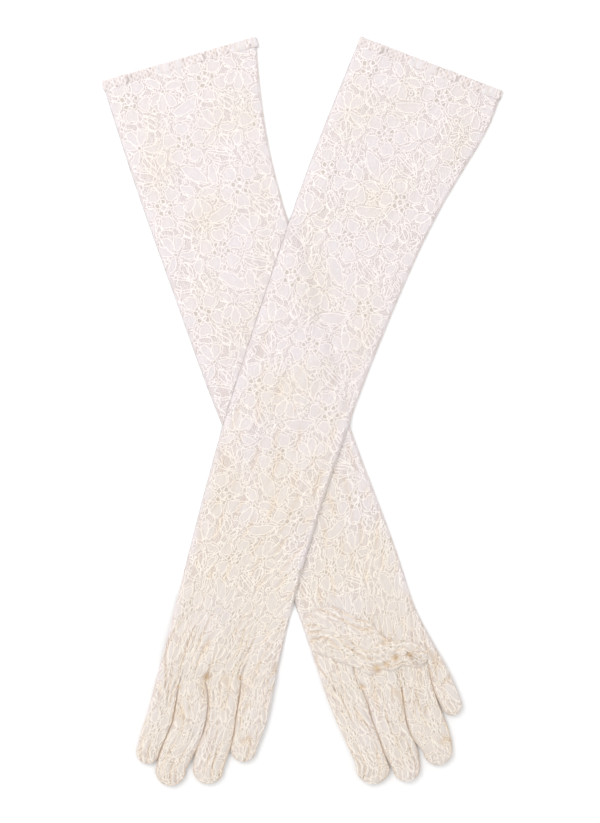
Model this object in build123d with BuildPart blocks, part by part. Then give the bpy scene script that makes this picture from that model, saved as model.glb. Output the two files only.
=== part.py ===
"""A pair of opera-length stretch-lace gloves, laid flat and crossed on a table.

+Z is up and the table is z = 0.  The cuffs lie towards +Y and the fingertips towards -Y.
The right glove lies palm up on the table, with its thumb folded across the palm.  The left
glove lies across it, back of the hand up, with its thumb tucked under the palm.
Each glove is two layers of lace, folded on the thumb side and seamed on the little-finger
side.  It is divided where it bends: above the elbow, at the wrist and at each finger's root.
"""

import os
from dataclasses import dataclass
from math import atan2, cos, degrees, radians, sin

from build123d import *

# ---- driving dimensions, in millimetres ----
CLOTH = 0.5  # one layer of lace
FLAT_GAP = 0.8  # air left inside a sleeve that lies flat
SLEEVE_HEIGHT = 2 * CLOTH + FLAT_GAP
FINGER_HEIGHT = 4.0  # fingers keep some roundness, from their fourchettes
CLEARANCE = 0.3  # between two gloves, or a glove and its own folded thumb
JOINT_GAP = 0.4  # between two pieces that fold against each other
SIDE_GAP = 0.35  # between a finger and the web of the hand beside it
OUTER_ROOM = 4.0  # the outermost fingers' cut-outs run past the edge of the hand
UPPER_DECK = SLEEVE_HEIGHT + CLEARANCE  # height at which cloth rests on a flat glove
SEAM_WIDTH = 1.2  # overlocked seam down the little-finger side
RAMP_START = 3.0  # the upper left sleeve comes down to the table between these two
RAMP_END = 26.0  # distances above its elbow line

HEM_WIDTH = 8.0  # turned hem round the arm opening
HEM_CLOTH = 0.3
HEM_HEIGHT = 1.0
HEM_LAYER_GAP = 0.1
HEM_END_ROOM = 1.0  # the hem halves stop short of the fold, where the elastic turns
ELASTIC_WIDTH = 5.0
ELASTIC_THICKNESS = 0.3
ELASTIC_INSET = 1.5  # from the cuff's edge
ELASTIC_SLACK = 0.2

REACH = 90.0  # half-length of a cutting line, longer than any glove is wide


@dataclass
class Line2:
    """A line across a glove: its middle, and its slope in degrees from +X."""

    middle: tuple
    slope: float

    def along(self):
        return Vector(cos(radians(self.slope)), sin(radians(self.slope)))

    def towards_cuff(self):
        return Vector(-sin(radians(self.slope)), cos(radians(self.slope)))

    def point(self, across, up=0.0):
        return Vector(*self.middle) + self.along() * across + self.towards_cuff() * up


@dataclass
class Digit:
    """A finger or thumb: root centre, centre of the round tip, half-widths and root skew."""

    name: str
    root: tuple
    tip: tuple
    half_width: float
    tip_radius: float
    root_skew: float = 0.0  # how far one end of the root is ahead of its middle
    walls: tuple = ()  # sides closed by fourchettes: -1 and 1 are the two sides

    def direction(self):
        return (Vector(*self.tip) - Vector(*self.root)).normalized()

    def length(self):
        return (Vector(*self.tip) - Vector(*self.root)).length

    def plane(self, height):
        """The digit's own plane at a height: x runs to the tip, y to the other digits."""
        ahead = self.direction()
        return Plane(
            origin=(self.root[0], self.root[1], height),
            x_dir=(ahead.X, ahead.Y, 0),
            z_dir=(0, 0, 1),
        )

    def root_corner(self, side, widening, back):
        """A root corner of the cut-out that the hand leaves for this digit."""
        across = self.direction().rotate(Axis.Z, 90)
        offset = across * side * (self.half_width + widening)
        return Vector(*self.root) + offset - self.direction() * back


@dataclass
class Glove:
    """One glove's outline and where it folds."""

    name: str
    palm_up: bool
    deck: float  # height of the forearm and hand above the table
    thumb_edge: list  # outline points on the thumb side, cuff first
    little_edge: list  # outline points on the little-finger side, cuff first
    elbow: Line2
    wrist: Line2
    fingers: list
    thumb: Digit
    thumb_deck: float


LEFT = Glove(
    name="left",
    palm_up=False,
    deck=UPPER_DECK,
    thumb_edge=[(46, 292), (4, 187), (-27, 97), (-63.5, -18), (-95.5, -139), (-115, -214), (-121, -236)],
    little_edge=[
        (156.8, 249.5),
        (146.5, 222),
        (128, 190),
        (99.6, 140),
        (82, 102),
        (41, 0),
        (-9, -160),
        (-22, -216),
        (-27, -240),
    ],
    elbow=Line2((54, 164), -25),
    wrist=Line2((-50, -139), -15.5),
    fingers=[
        Digit("index", (-104.5, -213.5), (-120.6, -266.8), 9.4, 8.6, walls=(1,)),
        Digit("middle", (-83.2, -214), (-102.3, -281.6), 10.2, 10.2, walls=(-1, 1)),
        Digit("ring", (-59.6, -213), (-72, -280.2), 11.6, 11.6, walls=(-1, 1)),
        Digit("little", (-34.5, -211.5), (-46.6, -266), 12, 10.5, walls=(-1,)),
    ],
    thumb=Digit("thumb", (-84, -150), (-63, -195), 13, 8.5),
    thumb_deck=0.0,
)

RIGHT = Glove(
    name="right",
    palm_up=True,
    deck=0.0,
    thumb_edge=[(-156.8, 257), (-129.5, 172), (-99, 86), (-67.5, 0), (-17, -121), (13.3, -207.5), (20, -226)],
    little_edge=[
        (-36.5, 292),
        (-26, 206),
        (8.5, 86),
        (39, -17.5),
        (77, -121),
        (88.6, -155.6),
        (112, -200),
        (118, -212),
    ],
    elbow=Line2((-72, 170), 16),
    wrist=Line2((37, -143), 21.5),
    fingers=[
        Digit("index", (31.5, -214.5), (56, -279.5), 13.6, 12, walls=(1,)),
        Digit("middle", (61.5, -215), (81.7, -280.8), 13.2, 11, walls=(-1, 1)),
        Digit("ring", (88, -211.5), (105.8, -264.8), 11.6, 11.4, walls=(-1, 1)),
        Digit("little", (103.6, -196), (117.3, -231.5), 7.8, 7.8, walls=(-1,)),
    ],
    thumb=Digit("thumb", (5.5, -177), (64, -193), 13, 9.5, root_skew=-8.3),
    thumb_deck=UPPER_DECK,
)


# ---- outlines ----


def glove_outline(glove):
    """The sleeve and hand seen from above, running a little past the knuckles."""
    with BuildSketch() as outline:
        with BuildLine():
            Spline(*glove.thumb_edge)
            Spline(*glove.little_edge)
            Line(glove.thumb_edge[0], glove.little_edge[0])
            Line(glove.thumb_edge[-1], glove.little_edge[-1])
        make_face()
    return outline.sketch


def cuff_line(glove):
    """The line across the open end of the sleeve."""
    first = Vector(*glove.thumb_edge[0])
    last = Vector(*glove.little_edge[0])
    middle = (first + last) * 0.5
    across = last - first
    return Line2((middle.X, middle.Y), degrees(atan2(across.Y, across.X)))


def band(upper, lower, upper_room, lower_room):
    """Corners of the strip between two lines across the glove, with room kept at each."""
    return [
        upper.point(-REACH, -upper_room),
        upper.point(REACH, -upper_room),
        lower.point(REACH, lower_room),
        lower.point(-REACH, lower_room),
    ]


def hand_limits(glove):
    """Corners of the hand: the wrist line, then a step behind each finger's root."""
    corners = [
        glove.wrist.point(-REACH, -JOINT_GAP / 2),
        glove.wrist.point(REACH, -JOINT_GAP / 2),
    ]
    last = len(glove.fingers) - 1
    for place in range(last, -1, -1):
        finger = glove.fingers[place]
        for side in (1, -1):
            at_outside = (place == last and side == 1) or (place == 0 and side == -1)
            widening = OUTER_ROOM if at_outside else SIDE_GAP
            corners.append(finger.root_corner(side, widening, JOINT_GAP))
    return corners


def region(glove, corners):
    """The part of the glove's outline that lies inside the given corners."""
    with BuildSketch() as part_of_outline:
        add(glove_outline(glove))
        Polygon(*[(c.X, c.Y) for c in corners], align=None, mode=Mode.INTERSECT)
    return part_of_outline.sketch


def edge_strip(glove, shape, shift):
    """The strip of a region along one long edge: positive shift keeps the thumb side."""
    with BuildSketch() as strip:
        add(shape)
        with Locations((shift, 0)):
            add(glove_outline(glove), mode=Mode.SUBTRACT)
    return strip.sketch


def digit_outline(digit):
    """A tapered digit with a round tip, drawn in its own plane with its root at x = 0."""
    length = digit.length()
    width = digit.half_width
    radius = digit.tip_radius
    with BuildSketch() as outline:
        with BuildLine():
            Line((-digit.root_skew, -width), (digit.root_skew, width))
            Line((digit.root_skew, width), (length, radius))
            ThreePointArc((length, radius), (length + radius, 0), (length, -radius))
            Line((length, -radius), (-digit.root_skew, -width))
        make_face()
    return outline.sketch


def digit_wall(digit, side):
    """The strip along one side of a digit, from its root to where the tip turns."""
    length = digit.length()
    root = digit.half_width * side
    tip = digit.tip_radius * side
    inwards = CLOTH * side
    with BuildSketch() as wall:
        Polygon((0, root), (length, tip), (length, tip - inwards), (0, root - inwards), align=None)
    return wall.sketch


def digit_tip_rim(digit):
    """The turned edge round a digit's tip, where its two faces are sewn together."""
    length = digit.length()
    with BuildSketch() as rim:
        with Locations((length, 0)):
            Circle(digit.tip_radius)
            Circle(digit.tip_radius - CLOTH, mode=Mode.SUBTRACT)
        with Locations((length - REACH / 2, 0)):
            Rectangle(REACH, REACH, mode=Mode.SUBTRACT)
    return rim.sketch


# ---- pieces ----


def write(solid, name):
    """Labels a finished piece and saves it."""
    solid.label = name
    export_step(solid, f"parts/{name}.step")


def cloth_piece(layers):
    """One piece of cloth, fused from layers of (sketch, plane it lies on, thickness)."""
    with BuildPart() as cloth:
        for sketch, plane, thickness in layers:
            with BuildSketch(plane):
                add(sketch)
            extrude(amount=thickness)
    return cloth.part


def write_pair(glove, name, face, plane_at, deck, height, rims):
    """Writes the two cloth faces of a section, the back one with its turned edges."""
    upper = (face, plane_at(deck + height - CLOTH), CLOTH)
    lower = (face, plane_at(deck), CLOTH)
    back, palm = (lower, upper) if glove.palm_up else (upper, lower)
    turned = [(rim, plane_at(deck + CLOTH), height - 2 * CLOTH) for rim in rims]
    write(cloth_piece([back, *turned]), f"{name}_back")
    write(cloth_piece([palm]), f"{name}_palm")


def make_flat_section(glove, section, corners):
    """A stretch of sleeve or hand at the glove's own height, with its side seam."""
    face = region(glove, corners)
    fold = edge_strip(glove, face, CLOTH)
    seam = edge_strip(glove, face, -SEAM_WIDTH)
    name = f"{glove.name}_{section}"
    write_pair(glove, name, face, Plane.XY.offset, glove.deck, SLEEVE_HEIGHT, [fold])
    write(cloth_piece([(seam, Plane.XY.offset(glove.deck + CLOTH), FLAT_GAP)]), f"{name}_seam")


def ramped_sheet(glove, sketch, bottom, thickness):
    """Cloth that comes down from the glove's own height to the table, above the elbow."""
    origin = glove.elbow.point(0)
    up_sleeve = glove.elbow.towards_cuff()
    across = glove.elbow.along()
    side_view = Plane(
        origin=(origin.X, origin.Y, 0),
        x_dir=(up_sleeve.X, up_sleeve.Y, 0),
        z_dir=(across.X, across.Y, 0),
    )
    high = bottom + thickness
    raised = bottom + glove.deck
    raised_high = high + glove.deck
    sleeve_end = 2 * REACH
    with BuildPart() as sheet:
        with BuildSketch():
            add(sketch)
        extrude(amount=glove.deck + FINGER_HEIGHT)
        with BuildSketch(side_view):
            Polygon(
                (-RAMP_END, raised),
                (RAMP_START, raised),
                (RAMP_END, bottom),
                (sleeve_end, bottom),
                (sleeve_end, high),
                (RAMP_END, high),
                (RAMP_START, raised_high),
                (-RAMP_END, raised_high),
                align=None,
            )
        extrude(amount=REACH, both=True, mode=Mode.INTERSECT)
    return sheet.part


def make_ramped_section(glove, section, corners):
    """The upper sleeve of the glove on top, which comes down to the table."""
    face = region(glove, corners)
    fold = edge_strip(glove, face, CLOTH)
    seam = edge_strip(glove, face, -SEAM_WIDTH)
    name = f"{glove.name}_{section}"
    with BuildPart() as back:
        add(ramped_sheet(glove, face, CLOTH + FLAT_GAP, CLOTH))
        add(ramped_sheet(glove, fold, CLOTH, FLAT_GAP))
    write(back.part, f"{name}_back")
    write(ramped_sheet(glove, face, 0, CLOTH), f"{name}_palm")
    write(ramped_sheet(glove, seam, CLOTH, FLAT_GAP), f"{name}_seam")


def make_hem(glove):
    """The turned hem round the arm opening, as two halves, and the elastic inside it."""
    cuff = cuff_line(glove)
    width = (Vector(*glove.little_edge[0]) - Vector(*glove.thumb_edge[0])).length
    half_length = width / 2 - HEM_END_ROOM
    middle = cuff.point(0)
    along = cuff.along()
    down_sleeve = cuff.towards_cuff() * -1
    section = Plane(
        origin=(middle.X, middle.Y, 0),
        x_dir=(down_sleeve.X, down_sleeve.Y, 0),
        z_dir=(-along.X, -along.Y, 0),
    )
    upper_bottom = HEM_HEIGHT + HEM_LAYER_GAP
    halves = {"lower": 0.0, "upper": upper_bottom}
    for place, bottom in halves.items():
        with BuildPart() as hem:
            with BuildSketch(section):
                with Locations((HEM_WIDTH / 2, bottom + HEM_HEIGHT / 2)):
                    Rectangle(HEM_WIDTH, HEM_HEIGHT)
                with Locations((HEM_WIDTH / 2 + HEM_CLOTH, bottom + HEM_HEIGHT / 2)):
                    Rectangle(HEM_WIDTH, HEM_HEIGHT - 2 * HEM_CLOTH, mode=Mode.SUBTRACT)
            extrude(amount=half_length, both=True)
        side = "palm" if (place == "upper") == glove.palm_up else "back"
        write(hem.part, f"{glove.name}_hem_{side}")

    elastic_start = cuff.point(0, -ELASTIC_INSET)
    ring_view = Plane(
        origin=(elastic_start.X, elastic_start.Y, (upper_bottom + HEM_HEIGHT) / 2),
        x_dir=(along.X, along.Y, 0),
        z_dir=(down_sleeve.X, down_sleeve.Y, 0),
    )
    ring_height = upper_bottom + ELASTIC_THICKNESS
    ring_length = width - 2 * ELASTIC_SLACK
    wall = 2 * ELASTIC_THICKNESS
    with BuildPart() as elastic:
        with BuildSketch(ring_view):
            SlotOverall(ring_length, ring_height)
            SlotOverall(ring_length - wall, ring_height - wall, mode=Mode.SUBTRACT)
        extrude(amount=ELASTIC_WIDTH)
    write(elastic.part, f"{glove.name}_hem_elastic")


def make_finger(glove, finger):
    """A finger: back and palm faces, and the fourchettes on its inner sides."""
    name = f"{glove.name}_{finger.name}"
    folded_sides = [side for side in (-1, 1) if side not in finger.walls]
    rims = [digit_tip_rim(finger)]
    rims += [digit_wall(finger, side) for side in folded_sides]
    write_pair(glove, name, digit_outline(finger), finger.plane, 0, FINGER_HEIGHT, rims)
    for side in finger.walls:
        facing = "outer" if side == 1 else "inner"
        strip = (digit_wall(finger, side), finger.plane(CLOTH), FINGER_HEIGHT - 2 * CLOTH)
        write(cloth_piece([strip]), f"{name}_fourchette_{facing}")


def make_thumb(glove):
    """The set-in thumb, folded flat, with the seam down its free edge."""
    thumb = glove.thumb
    name = f"{glove.name}_thumb"
    rims = [digit_tip_rim(thumb)]
    write_pair(glove, name, digit_outline(thumb), thumb.plane, glove.thumb_deck, SLEEVE_HEIGHT, rims)


os.makedirs("parts", exist_ok=True)
for glove in (LEFT, RIGHT):
    cuff = cuff_line(glove)
    upper_sleeve = band(cuff, glove.elbow, HEM_WIDTH, JOINT_GAP / 2)
    forearm = band(glove.elbow, glove.wrist, JOINT_GAP / 2, JOINT_GAP / 2)
    if glove.deck > 0:
        make_ramped_section(glove, "upper_sleeve", upper_sleeve)
    else:
        make_flat_section(glove, "upper_sleeve", upper_sleeve)
    make_flat_section(glove, "forearm", forearm)
    make_flat_section(glove, "hand", hand_limits(glove))
    make_hem(glove)
    make_thumb(glove)
    for finger in glove.fingers:
        make_finger(glove, finger)
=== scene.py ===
"""A pair of ivory opera gloves in floral stretch lace, laid flat and crossed on a table.

Lengths are in millimetres until a mesh is made, and +Z is up from the table.  Each glove is a
folded trank of lace: pattern coordinates run across it from the fold on the thumb side
(positive on the upper layer, negative on the lower one) and along it from the arm opening.
"""

import logging
from dataclasses import dataclass, field
from enum import Enum
from math import atan2, cos, degrees, pi, radians, sin

import bpy
import numpy as np
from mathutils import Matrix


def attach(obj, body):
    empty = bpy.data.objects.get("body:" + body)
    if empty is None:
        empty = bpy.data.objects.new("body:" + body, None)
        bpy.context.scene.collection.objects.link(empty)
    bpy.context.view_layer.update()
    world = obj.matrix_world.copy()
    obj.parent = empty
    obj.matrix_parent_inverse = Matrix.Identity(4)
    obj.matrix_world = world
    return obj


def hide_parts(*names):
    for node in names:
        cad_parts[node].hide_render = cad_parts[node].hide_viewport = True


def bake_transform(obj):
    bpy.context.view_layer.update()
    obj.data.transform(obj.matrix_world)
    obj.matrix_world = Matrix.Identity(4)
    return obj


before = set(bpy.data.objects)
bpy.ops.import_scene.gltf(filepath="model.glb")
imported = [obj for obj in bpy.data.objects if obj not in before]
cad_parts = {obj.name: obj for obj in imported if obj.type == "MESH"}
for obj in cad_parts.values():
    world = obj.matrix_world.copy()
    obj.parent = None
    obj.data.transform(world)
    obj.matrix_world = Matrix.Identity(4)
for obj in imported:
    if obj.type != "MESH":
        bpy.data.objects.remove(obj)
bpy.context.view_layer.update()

MM = 0.001  # metres in a millimetre
MAP_UNIT = 100.0  # millimetres to one unit of the pattern map
SHEET_STEP = 1.3  # between neighbouring points of a sleeve
FINGER_STEP = 0.95
RIM_CLEAR = 1.5  # between a piece's sides and its cords, in pattern millimetres
END_OVERLAP = 1.2  # how far cords run past a piece's ends
ON_TABLE = 0.3  # air under cloth that lies flat
SLEEVE_THICKNESS = 2.0  # two layers of lace and the air between them
FINGER_THICKNESS = 5.0
PATTERN_SEED = 11
RIPPLE_SEED = 5
WARM_OVER = 190.0  # length down which the ivory grows warmer
TINY = 1e-9
FAR_OUTSIDE = -9.0  # distance where nothing is drawn yet
WHITE = (1.0, 1.0, 1.0, 1.0)
CORNERS = ((0, 0), (1, 0), (1, 1), (0, 1))  # of a face, as steps along and across

log = logging.getLogger("lace_gloves")


class Layer(Enum):
    """Which of a glove's two layers, and the sign of its pattern coordinate."""

    UPPER = 1
    LOWER = -1


# ---- curves and fields ----


def smooth(value: np.ndarray, low: float, high: float) -> np.ndarray:
    """Smoothstep of value from 0 at low to 1 at high."""
    t = np.clip((value - low) / (high - low), 0, 1)
    return t * t * (3 - 2 * t)


def spline(points: list, count: int = 400) -> np.ndarray:
    """A natural cubic spline through points, with its parameter the chord length.

    Args:
        points: the (x, y) points it passes through.
        count: how many points to sample.

    Returns:
        The sampled points, (count, 2).
    """
    p = np.asarray(points, float)
    t = np.concatenate([[0], np.cumsum(np.linalg.norm(np.diff(p, axis=0), axis=1))])
    n, h = len(p), np.diff(t)
    system, right = np.eye(n), np.zeros((n, 2))
    for k in range(1, n - 1):
        system[k, k - 1 : k + 2] = h[k - 1], 2 * (h[k - 1] + h[k]), h[k]
        right[k] = 6 * ((p[k + 1] - p[k]) / h[k] - (p[k] - p[k - 1]) / h[k - 1])
    bend = np.linalg.solve(system, right)
    s = np.linspace(0, t[-1], count)
    k = np.clip(np.searchsorted(t, s, side="right") - 1, 0, n - 2)
    a, b = (t[k + 1] - s)[:, None], (s - t[k])[:, None]
    hk = h[k][:, None]
    line = (p[k] / hk - bend[k] * hk / 6) * a + (p[k + 1] / hk - bend[k + 1] * hk / 6) * b
    return line + (bend[k] * a**3 + bend[k + 1] * b**3) / (6 * hk)


def area_under(height: np.ndarray, at: np.ndarray) -> float:
    """The area under a line of heights, by trapezia."""
    return float(((height[1:] + height[:-1]) / 2 * np.diff(at)).sum())


def bilinear(grid: np.ndarray, low: tuple, high: tuple, share: tuple) -> np.ndarray:
    """Values between the corners of grid cells.

    Args:
        grid: the values.
        low: each place's lower corner, as an index on each of two axes.
        high: the same for its upper corner.
        share: how far it is from low to high on each axis.

    Returns:
        The interpolated values.
    """
    (i, j), (i2, j2), (a, b) = low, high, share
    near = grid[i, j] * (1 - a) + grid[i2, j] * a
    return near * (1 - b) + (grid[i, j2] * (1 - a) + grid[i2, j2] * a) * b


@dataclass(frozen=True)
class CutLine:
    """A line across a glove: its middle, and its slope in degrees from +X."""

    middle: tuple
    slope: float

    def along(self) -> np.ndarray:
        """Its direction, towards +X."""
        return np.array([cos(radians(self.slope)), sin(radians(self.slope))])

    def towards_cuff(self) -> np.ndarray:
        """The direction square to it, towards the arm opening."""
        return np.array([-sin(radians(self.slope)), cos(radians(self.slope))])

    def shifted(self, amount: float) -> "CutLine":
        """The same line moved towards the cuff."""
        x, y = np.array(self.middle) + self.towards_cuff() * amount
        return CutLine((float(x), float(y)), self.slope)


@dataclass
class Edge:
    """One long edge of a glove, as a dense polyline that starts at the cuff."""

    line: np.ndarray

    def __post_init__(self) -> None:
        """Measures the arc length at each point."""
        steps = np.linalg.norm(np.diff(self.line, axis=0), axis=1)
        self.length = np.concatenate([[0], np.cumsum(steps)])

    def crossing(self, cut: CutLine) -> float:
        """Arc length at which the edge crosses a cut line."""
        side = (self.line - np.array(cut.middle)) @ cut.towards_cuff()
        k = int(np.argmax(side < 0))
        share = side[k - 1] / (side[k - 1] - side[k])
        return float(self.length[k - 1] + share * (self.length[k] - self.length[k - 1]))

    def nearest(self, point: tuple) -> float:
        """Arc length of the point on the edge nearest to a given one."""
        away = np.linalg.norm(self.line - np.array(point), axis=1)
        return float(self.length[int(np.argmin(away))])

    def stretch(self, start: float, end: float, shares: np.ndarray) -> np.ndarray:
        """Points at the given shares of the way from one arc length to another."""
        s = start + (end - start) * shares
        return np.stack([np.interp(s, self.length, self.line[:, k]) for k in (0, 1)], axis=1)

    def point(self, at: float) -> np.ndarray:
        """The point at an arc length."""
        return self.stretch(at, at, np.zeros(1))[0]


@dataclass
class Ripple:
    """A smooth, seeded noise made of a few sine waves, with values within about -1 to 1."""

    seed: int
    short: float  # shortest wavelength
    long: float
    stretch: float = 1.0  # how much longer the waves are lengthwise
    waves: int = 7

    def __call__(self, x: np.ndarray, y: np.ndarray) -> np.ndarray:
        """The noise at the given places."""
        draw = np.random.default_rng(self.seed)
        total = np.zeros(np.broadcast(x, y).shape)
        for _ in range(self.waves):
            turn = draw.uniform(0, 2 * pi)
            size = draw.uniform(self.short, self.long)
            start = draw.uniform(0, 2 * pi)
            way = x * cos(turn) + y * sin(turn) / self.stretch
            total = total + np.sin(2 * pi * way / size + start)
        return total / self.waves**0.5 / 1.2


@dataclass
class HeightMap:
    """The highest cloth over each spot of the table, on a square grid."""

    reach: tuple = (190.0, 320.0)
    cell: float = 1.5

    def __post_init__(self) -> None:
        """Starts with a bare table."""
        self.shape = tuple(int(2 * r / self.cell) + 1 for r in self.reach)
        self.height = np.zeros(self.shape)

    def cells(self, places: np.ndarray, margin: float) -> list:
        """Places on each axis in cells, kept a margin inside the map's far sides."""
        return [
            np.clip((places[..., k] + self.reach[k]) / self.cell, 0, self.shape[k] - margin)
            for k in (0, 1)
        ]

    def stamp(self, points: np.ndarray) -> None:
        """Raises the map to a sheet's points."""
        flat = points.reshape(-1, 3)
        i, j = (k.round().astype(int) for k in self.cells(flat, 1))
        np.maximum.at(self.height, (i, j), flat[:, 2])

    def draped(self, air: float, fall: float = 11.0) -> "HeightMap":
        """The height of cloth laid over the map, which slopes down to the table round it.

        Args:
            air: gap kept over what is below.
            fall: distance in which the cloth comes down.

        Returns:
            A new map.
        """
        top, cells = self.height.max(), int(fall / self.cell)
        raised = np.where(self.height > 0, self.height + air, 0)
        over = raised.copy()
        for di in range(-cells, cells + 1):
            for dj in range(-cells, cells + 1):
                away = np.hypot(di, dj) * self.cell
                if 0 < away < fall:
                    drop = (top + air) * smooth(np.array(away), 0, fall)
                    over = np.maximum(over, np.roll(raised, (di, dj), (0, 1)) - drop)
        for _ in range(3):
            for axis in (0, 1):
                over = (np.roll(over, 1, axis) + 2 * over + np.roll(over, -1, axis)) / 4
        made = HeightMap(self.reach, self.cell)
        made.height = np.maximum(over, raised - air / 2)
        return made

    def at(self, xy: np.ndarray) -> np.ndarray:
        """The height at (..., 2) places, interpolated."""
        x, y = self.cells(xy, 1.001)
        i, j = x.astype(int), y.astype(int)
        return bilinear(self.height, (i, j), (i + 1, j + 1), (x - i, y - j))


def laid_over(sheets: list, air: float, fall: float = 11.0) -> HeightMap:
    """The height of cloth laid over sheets, with some air between them."""
    below = HeightMap()
    for points in sheets:
        below.stamp(points)
    return below.draped(air, fall)


def turned(points: np.ndarray, pivot: tuple, turn: float) -> np.ndarray:
    """A sheet's points turned about an upright line."""
    dx, dy, c, s = points[..., 0] - pivot[0], points[..., 1] - pivot[1], cos(turn), sin(turn)
    swung = [pivot[0] + dx * c - dy * s, pivot[1] + dx * s + dy * c, points[..., 2]]
    return np.stack(swung, axis=-1)


# ---- the lace's own pattern ----


def petal(length: float, half_width: float, notch: float = 0.0, count: int = 22) -> np.ndarray:
    """A closed outline from its base at the origin to its tip on +y, widest beyond its middle."""
    t = np.linspace(0, 2 * pi, count, endpoint=False)
    up = (1 - np.cos(t)) / 2
    x = half_width * np.sin(t) * (0.62 + 0.5 * up)
    y = length * up - notch * np.exp(-((x / (0.3 * half_width)) ** 2)) * (up > 0.5)
    return np.stack([x, y], axis=1)


def leaf(length: float, half_width: float, count: int = 22) -> np.ndarray:
    """A pointed closed outline centred on the origin, along y."""
    t = np.linspace(0, 2 * pi, count, endpoint=False)
    x = half_width * np.sin(t) * np.abs(np.sin(t)) ** 0.35
    return np.stack([x, -length / 2 * np.cos(t)], axis=1)


def ring(radius: float, count: int = 10) -> np.ndarray:
    """A circle round the origin."""
    t = np.linspace(0, 2 * pi, count, endpoint=False)
    return radius * np.stack([np.cos(t), np.sin(t)], axis=1)


def placed(shape: np.ndarray, centre: tuple, turn: float, ahead: float = 0.0) -> np.ndarray:
    """A shape moved ahead along its own y, turned, and moved to a centre."""
    c, s = cos(turn), sin(turn)
    x, y = shape[:, 0], shape[:, 1] + ahead
    return np.stack([x * c - y * s, x * s + y * c], axis=1) + np.array(centre)


def bent(shape: np.ndarray, curl: float) -> np.ndarray:
    """An outline along y, curled sideways like a blown leaf."""
    return np.stack([shape[:, 0] + curl * shape[:, 1] ** 2, shape[:, 1]], axis=1)


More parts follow.
